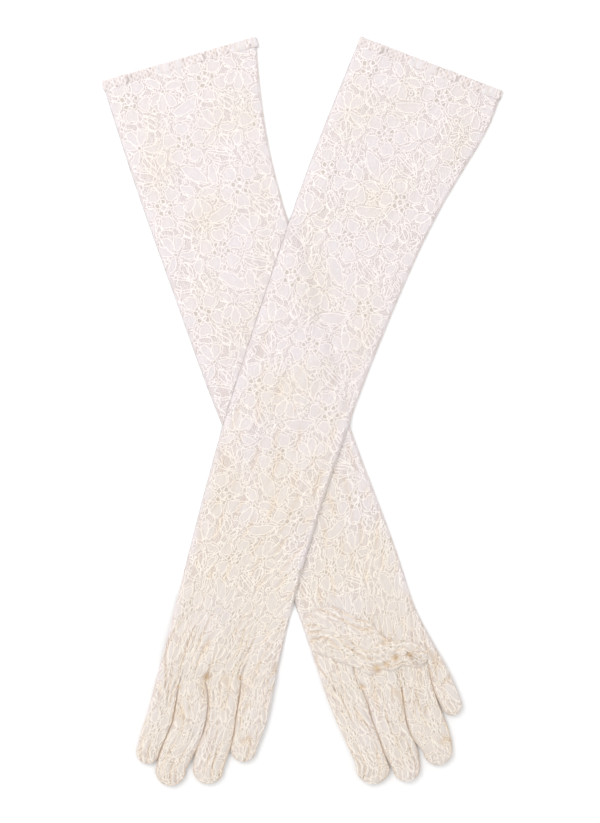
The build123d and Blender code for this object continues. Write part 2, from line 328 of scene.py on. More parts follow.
@dataclass
class LacePattern:
    """The repeat of the floral lace: dense petals and leaves, eyelets, and outlining cords."""

    width: float = 62.0
    height: float = 88.0
    grain: float = 0.5  # of the distance rasters
    seed: int = PATTERN_SEED
    outline_step: float = 1.24  # between points of the cords that run round the motifs
    outline_away: float = 1.5  # from the motifs' own cords
    strand_count: int = 6  # loose lengthwise cords in a repeat
    pull: float = 0.5  # how far knitting pulls a cord off its line
    waver: tuple = (0.3, 0.22)  # random moves of points on the cords, and on those round them

    def __post_init__(self) -> None:
        """Draws the repeat."""
        self.draw = np.random.default_rng(self.seed)
        self.cells = (int(self.width / self.grain), int(self.height / self.grain))
        x, y = ((np.arange(count) + 0.5) * self.grain for count in self.cells)
        self.x, self.y = np.meshgrid(x, y, indexing="ij")
        self.taken, self.dense, self.eyelet = (np.full(self.cells, FAR_OUTSIDE) for _ in range(3))
        self.cords: list = []
        self.flower((16, 22), 0.15, 5)
        self.flower((47, 66), 0.75, 5)
        self.bud((44, 20), 0.35)
        self.bud((13, 62), pi - 0.3)
        self.fill_between()
        self.run_round()
        self.run_strands()
        self.cords = [(self.wavered(line, self.waver[0]), closed) for line, closed in self.cords]
        self.outline_points = self.wavered(self.outline_points, self.waver[1])

    def run_strands(self) -> None:
        """Loose cords that waver lengthwise wherever there is no dense motif."""
        y = np.arange(0, self.height + 1, 1.25)
        for k in range(self.strand_count):
            turns = 2 * pi * y / self.height
            x = self.width * (k + 0.5) / self.strand_count
            for waves, reach in ((2, 1.6), (7, 1.3), (13, 0.8)):
                x = x + reach * np.sin(waves * turns + self.draw.uniform(0, 2 * pi))
            clear = self.read(self.dense, x, y) < -0.4
            cuts = np.nonzero(np.diff(clear.astype(int)))[0] + 1
            for run in np.split(np.arange(len(y)), cuts):
                if len(run) > 3 and clear[run[0]]:
                    self.cords.append((np.stack([x[run], y[run]], axis=1), False))

    def wavered(self, line: np.ndarray, amount: float) -> np.ndarray:
        """A cord's points, moved a little at random as its thread pulls."""
        return line + self.draw.normal(0, amount, line.shape).clip(-2 * amount, 2 * amount)

    def distance(self, shape: np.ndarray) -> tuple:
        """Signed distance to an outline, in the window round it.

        Args:
            shape: the closed outline, (n, 2).

        Returns:
            The window's cell indices and the distances there, positive inside.
        """
        centre, reach = (shape.min(0) + shape.max(0)) / 2, np.ptp(shape, axis=0) / 2 + 5
        dx, dy = (
            (place - middle + size / 2) % size - size / 2
            for place, middle, size in zip((self.x, self.y), centre, (self.width, self.height))
        )
        window = np.nonzero((np.abs(dx) < reach[0]) & (np.abs(dy) < reach[1]))
        p = np.stack([dx[window], dy[window]], axis=1)[:, None, :]
        a, b = (shape - centre)[None], (np.roll(shape, -1, 0) - centre)[None]
        squared = np.maximum(((b - a) ** 2).sum(-1), TINY)
        along = np.clip(((p - a) * (b - a)).sum(-1) / squared, 0, 1)
        away = np.linalg.norm(p - a - along[..., None] * (b - a), axis=-1).min(1)
        above = (a[..., 1] > p[..., 1]) != (b[..., 1] > p[..., 1])
        rise = np.where(np.abs(b[..., 1] - a[..., 1]) < TINY, TINY, b[..., 1] - a[..., 1])
        left = p[..., 0] < a[..., 0] + (p[..., 1] - a[..., 1]) * (b[..., 0] - a[..., 0]) / rise
        inside = (above & left).sum(1) % 2 == 1
        return window, np.where(inside, away, -away)

    def add(self, shape: np.ndarray, fields: list, corded: bool = True) -> None:
        """Adds an outline to the repeat.

        Args:
            shape: the closed outline.
            fields: the distance rasters it is solid in.
            corded: whether a cord runs round it.
        """
        window, away = self.distance(shape)
        for raster in [self.taken, *fields]:
            raster[window] = np.maximum(raster[window], away)
        if corded:
            self.cords.append((shape, True))

    def flower(self, centre: tuple, turn: float, petals: int) -> None:
        """A broad flower with a ring of eyelets round its dotted eye."""
        for k in range(petals):
            angle = turn + 2 * pi * k / petals
            self.add(placed(petal(10.6, 5.6, 1.5), centre, angle, 6.6), [self.dense])
            self.add(placed(ring(2.0, 9), centre, angle + pi / petals, 5.4), [self.eyelet])
        self.add(placed(ring(2.7, 10), centre, 0), [])
        for k in range(6):
            self.add(placed(ring(0.5, 6), centre, turn + k * pi / 3, 1.55), [self.eyelet], False)

    def bud(self, centre: tuple, turn: float) -> None:
        """A half-open bud: three petals that spread from a cup, and an eyelet between them."""
        for spread, length in ((-0.62, 12.0), (0.0, 14.0), (0.62, 12.0)):
            self.add(placed(petal(length, 3.9, 0.8), centre, turn + spread, 4.4), [self.dense])
        self.add(placed(ring(1.5, 8), centre, turn, 2.2), [self.eyelet])
        for side in (-1, 1):
            blade = bent(leaf(13, 2.7), 0.03 * side)
            self.add(placed(blade, centre, turn + side * 2.0, 8.5), [self.dense])

    def free(self, shape: np.ndarray, gap: float) -> bool:
        """Whether a shape stays a gap away from everything drawn."""
        points = np.concatenate([shape, (shape + shape.mean(0)) / 2, shape.mean(0)[None]])
        i = (points[:, 0] / self.grain).astype(int) % self.cells[0]
        j = (points[:, 1] / self.grain).astype(int) % self.cells[1]
        return bool(self.taken[i, j].max() < -gap)

    def fill_between(self) -> None:
        """Leaves, scrolls and small eyelets wherever there is room between the flowers."""
        kinds = [  # shape, clear gap, tries, share that is dense, and curl
            (leaf(22, 4.3), 2.0, 90, 0.6, 0.018),
            (petal(14, 4.4, 0.9), 1.9, 140, 0.5, 0.02),
            (leaf(16, 3.2), 1.7, 260, 0.55, 0.03),
            (petal(10, 3.3), 1.6, 320, 0.4, 0.03),
            (leaf(9, 2.0), 1.5, 500, 0.4, 0.04),
            (ring(1.35, 8), 1.5, 260, 0.0, 0.0),
        ]
        for shape, gap, tries, dense_share, curl in kinds:
            for _ in range(tries):
                centre = (self.draw.uniform(0, self.width), self.draw.uniform(0, self.height))
                turn = self.draw.normal(0, 0.6) + (pi if self.draw.random() < 0.5 else 0)
                bend = curl * self.draw.choice([-1, 1]) * self.draw.uniform(0.3, 1.2)
                candidate = placed(bent(shape - shape.mean(0), bend), centre, turn)
                solid = self.draw.random() < dense_share
                if self.free(candidate, gap):
                    small = len(shape) == 8
                    self.add(candidate, [self.eyelet] if small else [self.dense] if solid else [])
                    if not small and not solid:
                        self.cords.append((candidate[[0, len(candidate) // 2]], False))

    def run_round(self) -> None:
        """Second cords that run round the motifs, joining neighbours where they are close."""
        counts = [round(self.width / self.outline_step), round(self.height / self.outline_step)]
        steps = [self.width / counts[0], self.height / counts[1]]
        x, y = (np.arange(count + 1) * step for count, step in zip(counts, steps))
        x, y = np.meshgrid(x, y, indexing="ij")
        value = self.read(self.taken, x, y) + self.outline_away
        n, m = value.shape
        points, number = [], {}
        for axis in (0, 1):
            near = value[:-1] if axis == 0 else value[:, :-1]
            far = value[1:] if axis == 0 else value[:, 1:]
            for i, j in zip(*np.nonzero((near > 0) != (far > 0))):
                share = near[i, j] / (near[i, j] - far[i, j])
                number[axis, i, j] = len(points)
                at = (i + share * (axis == 0), j + share * (axis == 1))
                points.append((at[0] * steps[0], at[1] * steps[1]))
        edges = []
        for i in range(n - 1):
            for j in range(m - 1):
                keys = ((0, i, j), (1, i + 1, j), (0, i, j + 1), (1, i, j))
                ends = [number[key] for key in keys if key in number]
                edges += [(ends[k], ends[k + 1]) for k in range(0, len(ends) - 1, 2)]
        self.outline_points, self.outline_edges = np.array(points), np.array(edges)

    def read(self, raster: np.ndarray, across: np.ndarray, along: np.ndarray) -> np.ndarray:
        """A raster's value at pattern coordinates, interpolated over the repeat."""
        x, y = (
            (place / self.grain - 0.5) % count
            for place, count in zip((across, along), self.cells)
        )
        i, j = x.astype(int) % self.cells[0], y.astype(int) % self.cells[1]
        beyond = ((i + 1) % self.cells[0], (j + 1) % self.cells[1])
        return bilinear(raster, (i, j), beyond, (x - np.floor(x), y - np.floor(y)))

    def sample(self, across: np.ndarray, along: np.ndarray) -> tuple:
        """Distances into the dense motifs and the eyelets at pattern coordinates."""
        return self.read(self.dense, across, along), self.read(self.eyelet, across, along)

    def cord_net(self, across: tuple, along: tuple) -> tuple:
        """All the cords over a stretch of lace.

        Args:
            across: lowest and highest pattern coordinate across.
            along: the same along the glove.

        Returns:
            Points (n, 2) and edges (k, 2).
        """
        points, edges, count = [], [], 0
        for line, closed in self.cords:
            points.append(line)
            k = np.arange(len(line) if closed else len(line) - 1)
            edges.append(np.stack([k, (k + 1) % len(line)], axis=1) + count)
            count += len(line)
        points.append(self.outline_points)
        edges.append(self.outline_edges + count)
        count += len(self.outline_points)
        one, net = np.concatenate(points), np.concatenate(edges)
        tiles = [
            (i * self.width, j * self.height)
            for i in range(int(across[0] // self.width) - 1, int(across[1] // self.width) + 2)
            for j in range(int(along[0] // self.height) - 1, int(along[1] // self.height) + 2)
        ]
        every = np.concatenate([one + np.array(t) for t in tiles])
        pulls = [Ripple(self.seed + k, 2.6, 4.2)(every[:, 0], every[:, 1]) for k in (1, 2)]
        every = every + self.pull * np.stack(pulls, axis=1)
        return every, np.concatenate([net + k * count for k in range(len(tiles))])


# ---- sheets of lace ----


@dataclass
class Panel:
    """One layer of a piece of lace, as a grid: rows run along the glove, columns across it."""

    points: np.ndarray  # (n, m, 3)
    across: np.ndarray  # (n, m) pattern coordinate
    along: np.ndarray  # (n,) pattern coordinate
    layer: Layer
    crease_shade: np.ndarray  # (n, m) painted shade in its creases, 0 to 1
    warmth: np.ndarray  # (n, m) 0 to 1

    def __post_init__(self) -> None:
        """Finds the outward normals."""
        rows, columns = np.gradient(self.points, axis=0), np.gradient(self.points, axis=1)
        normal = np.cross(rows, columns)
        self.turned = float(np.sign(normal[..., 2].sum())) != self.layer.value
        normal = -normal if self.turned else normal
        self.normals = normal / np.maximum(np.linalg.norm(normal, axis=-1, keepdims=True), TINY)

    def place(self, across: np.ndarray, along: np.ndarray, lift: float) -> tuple:
        """Where pattern points lie on the cloth.

        Args:
            across: pattern coordinates across.
            along: pattern coordinates along.
            lift: height over the cloth.

        Returns:
            Points (k, 3), tones (k, 4), and a mask of those that are on this panel.
        """
        n, m = self.across.shape
        row = np.interp(along, self.along, np.arange(n))
        first, last = (np.interp(row, np.arange(n), self.across[:, k]) for k in (0, -1))
        span = last - first
        share = (across - first) / np.where(np.abs(span) < 1e-6, 1e-6, span)
        rim = np.minimum(share, 1 - share) * np.abs(span)
        on = (rim > RIM_CLEAR) & (along > self.along[0] - END_OVERLAP)
        on &= along < self.along[-1] + END_OVERLAP
        middle = self.across[n // 2]
        columns = (middle - middle[0]) / (middle[-1] - middle[0])
        column = np.interp(np.clip(share, 0, 1), columns, np.arange(m))
        i, j = np.minimum(row.astype(int), n - 2), np.minimum(column.astype(int), m - 2)
        where = ((i, j), (i + 1, j + 1), ((row - i)[:, None], (column - j)[:, None]))
        tones = bilinear(np.stack([self.warmth, self.crease_shade], axis=-1), *where)
        full = np.concatenate([np.zeros((len(tones), 2)), tones], axis=1)
        return bilinear(self.points, *where) + bilinear(self.normals, *where) * lift, full, on


def both_panels(xy: np.ndarray, heights: tuple, across: np.ndarray, *rest: np.ndarray) -> list:
    """The two panels of a piece.

    Args:
        xy: where its points lie, (n, m, 2).
        heights: of its upper and of its lower layer, each (n, m).
        across: pattern coordinates across, on the upper layer.
        rest: pattern coordinates along, painted crease shade mask and warmth.

    Returns:
        The upper and the lower Panel.
    """
    made = []
    for layer, z in zip((Layer.UPPER, Layer.LOWER), heights):
        points = np.concatenate([xy, z[..., None]], axis=-1)
        made.append(Panel(points, layer.value * across, rest[0], layer, *rest[1:]))
    return made


def make_object(name: str, points: np.ndarray, faces: list, edges: list = ()) -> bpy.types.Object:
    """A mesh object from points in millimetres, linked to the scene and smooth."""
    mesh = bpy.data.meshes.new(name)
    mesh.from_pydata((points * MM).tolist(), edges, faces)
    mesh.update()
    made = bpy.data.objects.new(name, mesh)
    bpy.context.scene.collection.objects.link(made)
    if faces:
        mesh.polygons.foreach_set("use_smooth", np.ones(len(mesh.polygons), bool))
    return made


def set_lace(made: bpy.types.Object, domain: str, values: np.ndarray) -> None:
    """Gives a mesh the lace's attribute: dense motif, eyelet, warmth and painted crease shade."""
    attribute = made.data.attributes.new("lace", "FLOAT_COLOR", domain)
    attribute.data.foreach_set("color", values.astype(np.float32).ravel())


def set_map(made: bpy.types.Object, places: np.ndarray) -> None:
    """Gives a mesh its pattern map, from pattern coordinates at its faces' corners."""
    layer = made.data.uv_layers.new(name="Pattern")
    layer.data.foreach_set("uv", (places / MAP_UNIT).astype(np.float32).ravel())


def sheet_object(name: str, panels: list, pattern: LacePattern) -> bpy.types.Object:
    """A piece of lace from its two layers, joined at the fold and meeting at the seam.

    Args:
        name: the piece's name.
        panels: its upper and lower panels, on the same rows and columns.
        pattern: the lace.

    Returns:
        The object, with a pattern map and the lace's own attribute.
    """
    points, faces, corners, maps = [], [], [], []
    n, m = panels[0].across.shape
    upper = np.arange(n * m).reshape(n, m)
    lower = np.arange(n * (m - 1)).reshape(n, m - 1) + n * m
    indices = (upper, np.concatenate([upper[:, :1], lower], axis=1))
    rows, columns = np.arange(n - 1)[:, None], np.arange(m - 1)[None]
    for k, (panel, index) in enumerate(zip(panels, indices)):
        points.append(panel.points[:, k:].reshape(-1, 3))
        steps = CORNERS[::-1] if panel.turned else CORNERS
        along = np.broadcast_to(panel.along[:, None], (n, m))
        look = [*pattern.sample(panel.across, along), panel.warmth, panel.crease_shade]
        for grid, into, axis in (
            (index, faces, -1),
            (np.stack(look, axis=-1), corners, 2),
            (np.stack([panel.across, along], axis=-1), maps, 2),
        ):
            at_corners = np.stack([grid[rows + a, columns + b] for a, b in steps], axis=axis)
            into.append(at_corners.reshape(-1, 4 if axis < 0 else grid.shape[-1]))
    made = make_object(name, np.concatenate(points), np.concatenate(faces).tolist())
    set_lace(made, "CORNER", np.concatenate(corners))
    set_map(made, np.concatenate(maps))
    return made


# ---- node trees ----


class Tree:
    """A node tree with short ways to add and join nodes."""

    def __init__(self, tree: bpy.types.NodeTree) -> None:
        """Wraps a tree."""
        self.tree = tree

    def node(self, kind: str, inputs: dict | None = None, **settings: object) -> bpy.types.Node:
        """Adds a node, sets its properties, and joins or sets its inputs by name or number."""
        made = self.tree.nodes.new(kind)
        for key, value in settings.items():
            setattr(made, key, value)
        for key, value in (inputs or {}).items():
            if isinstance(value, bpy.types.NodeSocket):
                self.tree.links.new(value, made.inputs[key])
            else:
                made.inputs[key].default_value = value
        return made

    def out(
        self, kind: str, inputs: dict | None = None, **settings: object
    ) -> bpy.types.NodeSocket:
        """Adds a node and gives its first output."""
        return self.node(kind, inputs, **settings).outputs[0]

    def math(self, operation: str, *values: object) -> bpy.types.NodeSocket:
        """A Math node's result."""
        return self.out("ShaderNodeMath", dict(enumerate(values)), operation=operation)

    def times(self, first: object, second: object) -> bpy.types.NodeSocket:
        """A product."""
        return self.math("MULTIPLY", first, second)

    def ramp(self, value: object, low: float, high: float) -> bpy.types.NodeSocket:
        """Smoothstep of a value from 0 at low to 1 at high."""
        inputs = {"Value": value, "From Min": low, "From Max": high}
        return self.out("ShaderNodeMapRange", inputs, interpolation_type="SMOOTHSTEP")

    def mix(self, factor: object, *colours: object, blend: str = "MIX") -> bpy.types.NodeSocket:
        """A mix of two colours."""
        inputs = {0: factor, 6: colours[0], 7: colours[1]}
        return self.node("ShaderNodeMix", inputs, data_type="RGBA", blend_type=blend).outputs[2]

    def noise(self, place: object, scale: float, **settings: object) -> bpy.types.Node:
        """A plain noise texture."""
        inputs = {"Vector": place, "Scale": scale, "Detail": 1.0}
        return self.node("ShaderNodeTexNoise", inputs, **settings)

    def link(self, out: bpy.types.NodeSocket, into: bpy.types.NodeSocket) -> None:
        """Joins two sockets."""
        self.tree.links.new(out, into)


def node_group(name: str, kind: str, inputs: dict, outputs: dict) -> tuple:
    """An empty node group.

    Args:
        name: the group's name.
        kind: its kind of tree, Shader or Geometry.
        inputs: kind and, if it has one, default of each named input.
        outputs: kind of each named output.

    Returns:
        The group, its Tree, its input node's sockets and its output node's.
    """
    group = bpy.data.node_groups.new(name, f"{kind}NodeTree")
    for way, sockets in (("INPUT", inputs), ("OUTPUT", outputs)):
        for label, (socket_kind, *default) in sockets.items():
            socket = group.interface.new_socket(
                name=label, in_out=way, socket_type=f"NodeSocket{socket_kind}"
            )
            if default:
                socket.default_value = default[0]
    tree = Tree(group)
    return group, tree, tree.node("NodeGroupInput").outputs, tree.node("NodeGroupOutput").inputs


def net_group() -> bpy.types.NodeTree:
    """Hexagonal ground net with threads that waver: where its holes are, and its relief."""
    group, tree, given, result = node_group(
        "Ground net",
        "Shader",
        {"Place": ("Vector",), "Pitch": ("Float", 0.02), "Waver": ("Float", 0.004)},
        dict.fromkeys(("Hole", "Relief", "Grain"), ("Float",)),
    )
    place, vector = given["Place"], "ShaderNodeVectorMath"
    noise = tree.noise(place, 9.0, noise_dimensions="2D").outputs["Color"]
    centred = tree.out(vector, {0: noise, 1: (0.5, 0.5, 0.5)}, operation="SUBTRACT")
    waver = tree.out(vector, {0: centred, "Scale": given["Waver"]}, operation="SCALE")
    moved = tree.out(vector, {0: place, 1: waver}, operation="ADD")
    size = tree.math("DIVIDE", 2 * pi * 1.1547, given["Pitch"])  # 1.1547 is 2 over root 3
    total = None
    for turn in (0.0, pi / 3, 2 * pi / 3):
        way = {0: moved, 1: (cos(turn), sin(turn), 0)}
        dot = tree.node(vector, way, operation="DOT_PRODUCT").outputs["Value"]
        wave = tree.math("COSINE", tree.times(dot, size))
        total = wave if total is None else tree.math("ADD", total, wave)
    tree.link(tree.ramp(total, -0.1, 0.7), result["Hole"])
    tree.link(tree.ramp(total, 0.6, -1.4), result["Relief"])
    stretched = tree.out("ShaderNodeMapping", {"Vector": place, "Scale": (1.0, 0.4, 1.0)})
    sway = tree.noise(stretched, 22.0, noise_dimensions="2D").outputs[0]
    across = tree.out("ShaderNodeSeparateXYZ", {0: place})
    turns = tree.math("ADD", tree.times(across, 37.0), tree.times(sway, 4.2))
    line = tree.math("COSINE", tree.times(turns, 2 * pi))
    tree.link(tree.ramp(line, -0.6, 0.9), result["Grain"])
    return group


def tone_group() -> bpy.types.NodeTree:
    """Ivory that is cooler on the sleeves and warmer at the hands, with painted golden shade in the
    creases.
    """
    inputs = {name: ("Color", WHITE) for name in ("Colour", "Cool", "Warm", "Painted shade")}
    inputs |= {name: ("Float", 0.0) for name in ("Warmth", "Crease shade")}
    group, tree, given, result = node_group(
        "Ivory tone", "Shader", inputs, {"Colour": ("Color",)}
    )
    tint = tree.mix(given["Warmth"], given["Cool"], given["Warm"])
    toned = tree.mix(1.0, given["Colour"], tint, blend="MULTIPLY")
    # painted shade multiplied in where the crease mask is high
    painted_shade = tree.mix(1.0, toned, given["Painted shade"], blend="MULTIPLY")
    tree.link(tree.mix(given["Crease shade"], toned, painted_shade), result["Colour"])
    return group


def rgba(colour: tuple) -> tuple:
    """A colour with full alpha."""
    return (*colour, 1.0)


def new_material(name: str, roughness: float, sheen: float) -> tuple:
    """A material with a Principled shader whose even values are set.

    Args:
        name: the material's name.
        roughness: of its surface.
        sheen: weight of its fuzz.

    Returns:
        The material, its Tree and its Principled node's inputs.
    """
    material = bpy.data.materials.new(name)
    material.use_nodes = True
    shader = material.node_tree.nodes["Principled BSDF"].inputs
    for label, value in (
        ("Roughness", roughness),
        ("Sheen Weight", sheen),
        ("Sheen Roughness", 0.5),
        ("Specular IOR Level", 0.25),
    ):
        shader[label].default_value = value
    return material, Tree(material.node_tree), shader


@dataclass(frozen=True)
class Ivory:
    """The tints, and the painted crease shade, that every thread of the gloves shares."""

    cool: tuple = (1.0, 0.985, 1.0)
    warm: tuple = (0.99, 0.96, 0.893)
    # painted shade: the golden-brown laid into creases, hollows and gaps where the lace is in
    # shadow
    painted_shade: tuple = (0.87, 0.72, 0.52)

    def tone(self, tree: Tree, group: bpy.types.NodeTree, colour: object) -> bpy.types.NodeSocket:
        """A colour toned by the piece's own warmth, and darkened by painted shade in its creases.
        """
        lace = tree.node("ShaderNodeAttribute", attribute_name="lace").outputs
        inputs = {
            "Colour": colour,
            "Warmth": tree.node("ShaderNodeSeparateColor", {0: lace["Color"]}).outputs[2],
            "Crease shade": lace["Alpha"],
            "Cool": rgba(self.cool),
            "Warm": rgba(self.warm),
            "Painted shade": rgba(self.painted_shade),
        }
        return tree.out("ShaderNodeGroup", inputs, node_tree=group)


@dataclass(frozen=True)
class LaceFinish:
    """The knitted lace ground with its dense motifs and eyelets."""

    name: str = "Ivory lace"
    net: tuple = (0.835, 0.775, 0.768)
    motif: tuple = (0.795, 0.75, 0.748)
    # eye: painted shade in the eyelets, where the shadowed layer below shows through
    eye: tuple = (0.77, 0.70, 0.65)
    shadow: tuple = (0.90, 0.87, 0.85)  # between the threads
    pitch: float = 0.016  # of the net, in units of the pattern map
    open_share: float = 0.24  # how clear a net hole is
    eyelet_open: float = 0.14
    grain: float = 0.9  # strength of the fine lengthwise lines on the net
    grain_lost: float = 0.6  # how much less there is on a motif
    bump: tuple = (0.4, 0.0006)  # strength, and depth in metres
    ivory: Ivory = Ivory()

    def material(self, net: bpy.types.NodeTree, tone: bpy.types.NodeTree) -> bpy.types.Material:
        """Builds the material."""
        material, tree, shader = new_material(self.name, 0.82, 0.25)
        lace = tree.out("ShaderNodeAttribute", attribute_name="lace")
        split = tree.node("ShaderNodeSeparateColor", {0: lace}).outputs
        place = tree.out("ShaderNodeUVMap", uv_map="Pattern")
        inputs = {"Place": place, "Pitch": self.pitch}
        ground = tree.node("ShaderNodeGroup", inputs, node_tree=net).outputs
        dense, eyelet = tree.ramp(split[0], -0.35, 0.35), tree.ramp(split[1], -0.3, 0.4)
        hole = tree.times(ground["Hole"], tree.math("SUBTRACT", 1.0, dense))
        left = tree.math("SUBTRACT", self.grain, tree.times(dense, self.grain_lost))
        cloth = tree.mix(dense, rgba(self.net), rgba(self.motif))
        grain = tree.times(ground["Grain"], left)
        shaded = tree.mix(grain, cloth, rgba(self.shadow), blend="MULTIPLY")
        # the eyelets get their painted shade
        coloured = tree.mix(eyelet, shaded, rgba(self.eye))
        tree.link(self.ivory.tone(tree, tone, coloured), shader["Base Color"])
        clear = [tree.times(hole, self.open_share), tree.times(eyelet, self.eyelet_open)]
        tree.link(tree.math("SUBTRACT", 1.0, tree.math("MAXIMUM", *clear)), shader["Alpha"])
        relief = tree.math("ADD", tree.times(ground["Relief"], 0.5), tree.times(dense, 0.6))
        height = tree.math("SUBTRACT", tree.math("ADD", relief, ground["Grain"]), eyelet)
        inputs = {"Strength": self.bump[0], "Distance": self.bump[1], "Height": height}
        tree.link(tree.out("ShaderNodeBump", inputs), shader["Normal"])
        return material


@dataclass(frozen=True)
class CordFinish:
    """Thread that is laid on the lace or sewn through it."""

    name: str
    colour: tuple
    ivory: Ivory = Ivory()

    def material(self, tone: bpy.types.NodeTree) -> bpy.types.Material:
        """Builds the material."""
        material, tree, shader = new_material(self.name, 0.62, 0.3)
        place = tree.node("ShaderNodeTexCoord").outputs["Object"]
        share = tree.ramp(tree.noise(place, 900.0).outputs[0], 0.35, 0.65)
        darker = tuple(0.9 * c for c in self.colour)
        mixed = tree.mix(share, rgba(darker), rgba(self.colour))
        tree.link(self.ivory.tone(tree, tone, mixed), shader["Base Color"])
        return material


# ---- threads, made with Geometry Nodes ----


def thread_tree(name: str, inputs: dict) -> tuple:
    """An empty Geometry Nodes tree that turns lines into threads.

    Args:
        name: the tree's name.
        inputs: kind of each named input, besides the lines and the thread's material.

    Returns:
        The group, its Tree, its given and result sockets, and the given lines as curves.
    """
    sockets = {"Geometry": ("Geometry",), **inputs, "Thread": ("Material",)}
    group, tree, given, result = node_group(name, "Geometry", sockets, {"Geometry": ("Geometry",)})
    lines = tree.out("GeometryNodeMeshToCurve", {"Mesh": given["Geometry"]})
    return group, tree, (given, result), lines


def end_threads(tree: Tree, ends: tuple, sewn: object, smooth_shaded: bool) -> None:
    """Makes a tree's threads real, shades and dresses them, and hands them out."""
    given, result = ends
    plain = tree.out("GeometryNodeRealizeInstances", {"Geometry": sewn})
    inputs = {"Geometry": plain, "Shade Smooth": smooth_shaded}
    shaded = tree.out("GeometryNodeSetShadeSmooth", inputs)
    inputs = {"Geometry": shaded, "Material": given["Thread"]}
    tree.link(tree.out("GeometryNodeSetMaterial", inputs), result["Geometry"])


def cord_tree() -> bpy.types.NodeTree:
    """Turns a net of edges into flattened cords of one thickness, with their ridge up."""
    kinds = {"Radius": ("Float",), "Sides": ("Int",), "Flatness": ("Vector",)}
    group, tree, ends, lines = thread_tree("Cords along lines", kinds)
    given = ends[0]
    level = tree.out("GeometryNodeSetCurveNormal", {"Curve": lines}, mode="Z_UP")
    circle = tree.out(
        "GeometryNodeCurvePrimitiveCircle",
        {"Resolution": given["Sides"], "Radius": given["Radius"]},
    )
    flat = tree.out(
        "GeometryNodeTransform",
        {"Geometry": circle, "Scale": given["Flatness"], "Rotation": (0.0, 0.0, pi / 2)},
    )
    tubes = tree.out(
        "GeometryNodeCurveToMesh", {"Curve": level, "Profile Curve": flat, "Fill Caps": True}
    )
    end_threads(tree, ends, tubes, False)
    return group


def stitch_tree() -> bpy.types.NodeTree:
    """Sews slanting overlock loops along a line at an even spacing."""
    labels = ("Spacing", "Loop Radius", "Thread Radius", "Slant")
    group, tree, ends, lines = thread_tree("Overlock stitches", dict.fromkeys(labels, ("Float",)))
    given = ends[0]
    inputs = {"Curve": lines, "Length": given["Spacing"]}
    spots = tree.out("GeometryNodeResampleCurve", inputs, mode="LENGTH")
    path, thread = (
        tree.out("GeometryNodeCurvePrimitiveCircle", {"Resolution": count, "Radius": given[label]})
        for count, label in ((9, "Loop Radius"), (4, "Thread Radius"))
    )
    loop = tree.out("GeometryNodeCurveToMesh", {"Curve": path, "Profile Curve": thread})
    tangent = {"Vector": tree.out("GeometryNodeInputTangent")}
    turn = tree.out("FunctionNodeAlignRotationToVector", tangent, axis="Z")
    angles = tree.out("ShaderNodeCombineXYZ", {0: given["Slant"]})
    slant = tree.node("FunctionNodeRotateRotation", {0: turn}, rotation_space="LOCAL")
    tree.link(angles, slant.inputs[1])
    sewn = tree.out(
        "GeometryNodeInstanceOnPoints",
        {"Points": spots, "Instance": loop, "Rotation": slant.outputs[0]},
    )
    end_threads(tree, ends, sewn, True)
    return group


def threads(
    name: str, lines: tuple, tones: np.ndarray, group: bpy.types.NodeTree, values: dict
) -> bpy.types.Object:
    """Runs a Geometry Nodes tree along lines and keeps its result as a plain mesh.

    Args:
        name: the finished piece's name.
        lines: points (n, 3) in millimetres, and edges as a list of pairs.
        tones: (n, 4) values of the lace attribute.
        group: the tree.
        values: what each named input is set to.

    Returns:
        The finished object, at the origin and with no modifier.
    """
    source = make_object(f"{name}_lines", lines[0], [], lines[1])
    set_lace(source, "POINT", tones)
    modifier = source.modifiers.new("Made along it", "NODES")
    modifier.node_group = group
    for item in group.interface.items_tree:
        if item.item_type == "SOCKET" and item.in_out == "INPUT" and item.name in values:
            modifier[item.identifier] = values[item.name]
    source.update_tag()
    bpy.context.view_layer.update()
    evaluated = source.evaluated_get(bpy.context.evaluated_depsgraph_get())
    mesh = bpy.data.meshes.new_from_object(evaluated)
    mesh.name = name
    made = bpy.data.objects.new(name, mesh)
    bpy.context.scene.collection.objects.link(made)
    old = source.data
    bpy.data.objects.remove(source)
    bpy.data.meshes.remove(old)
    return made


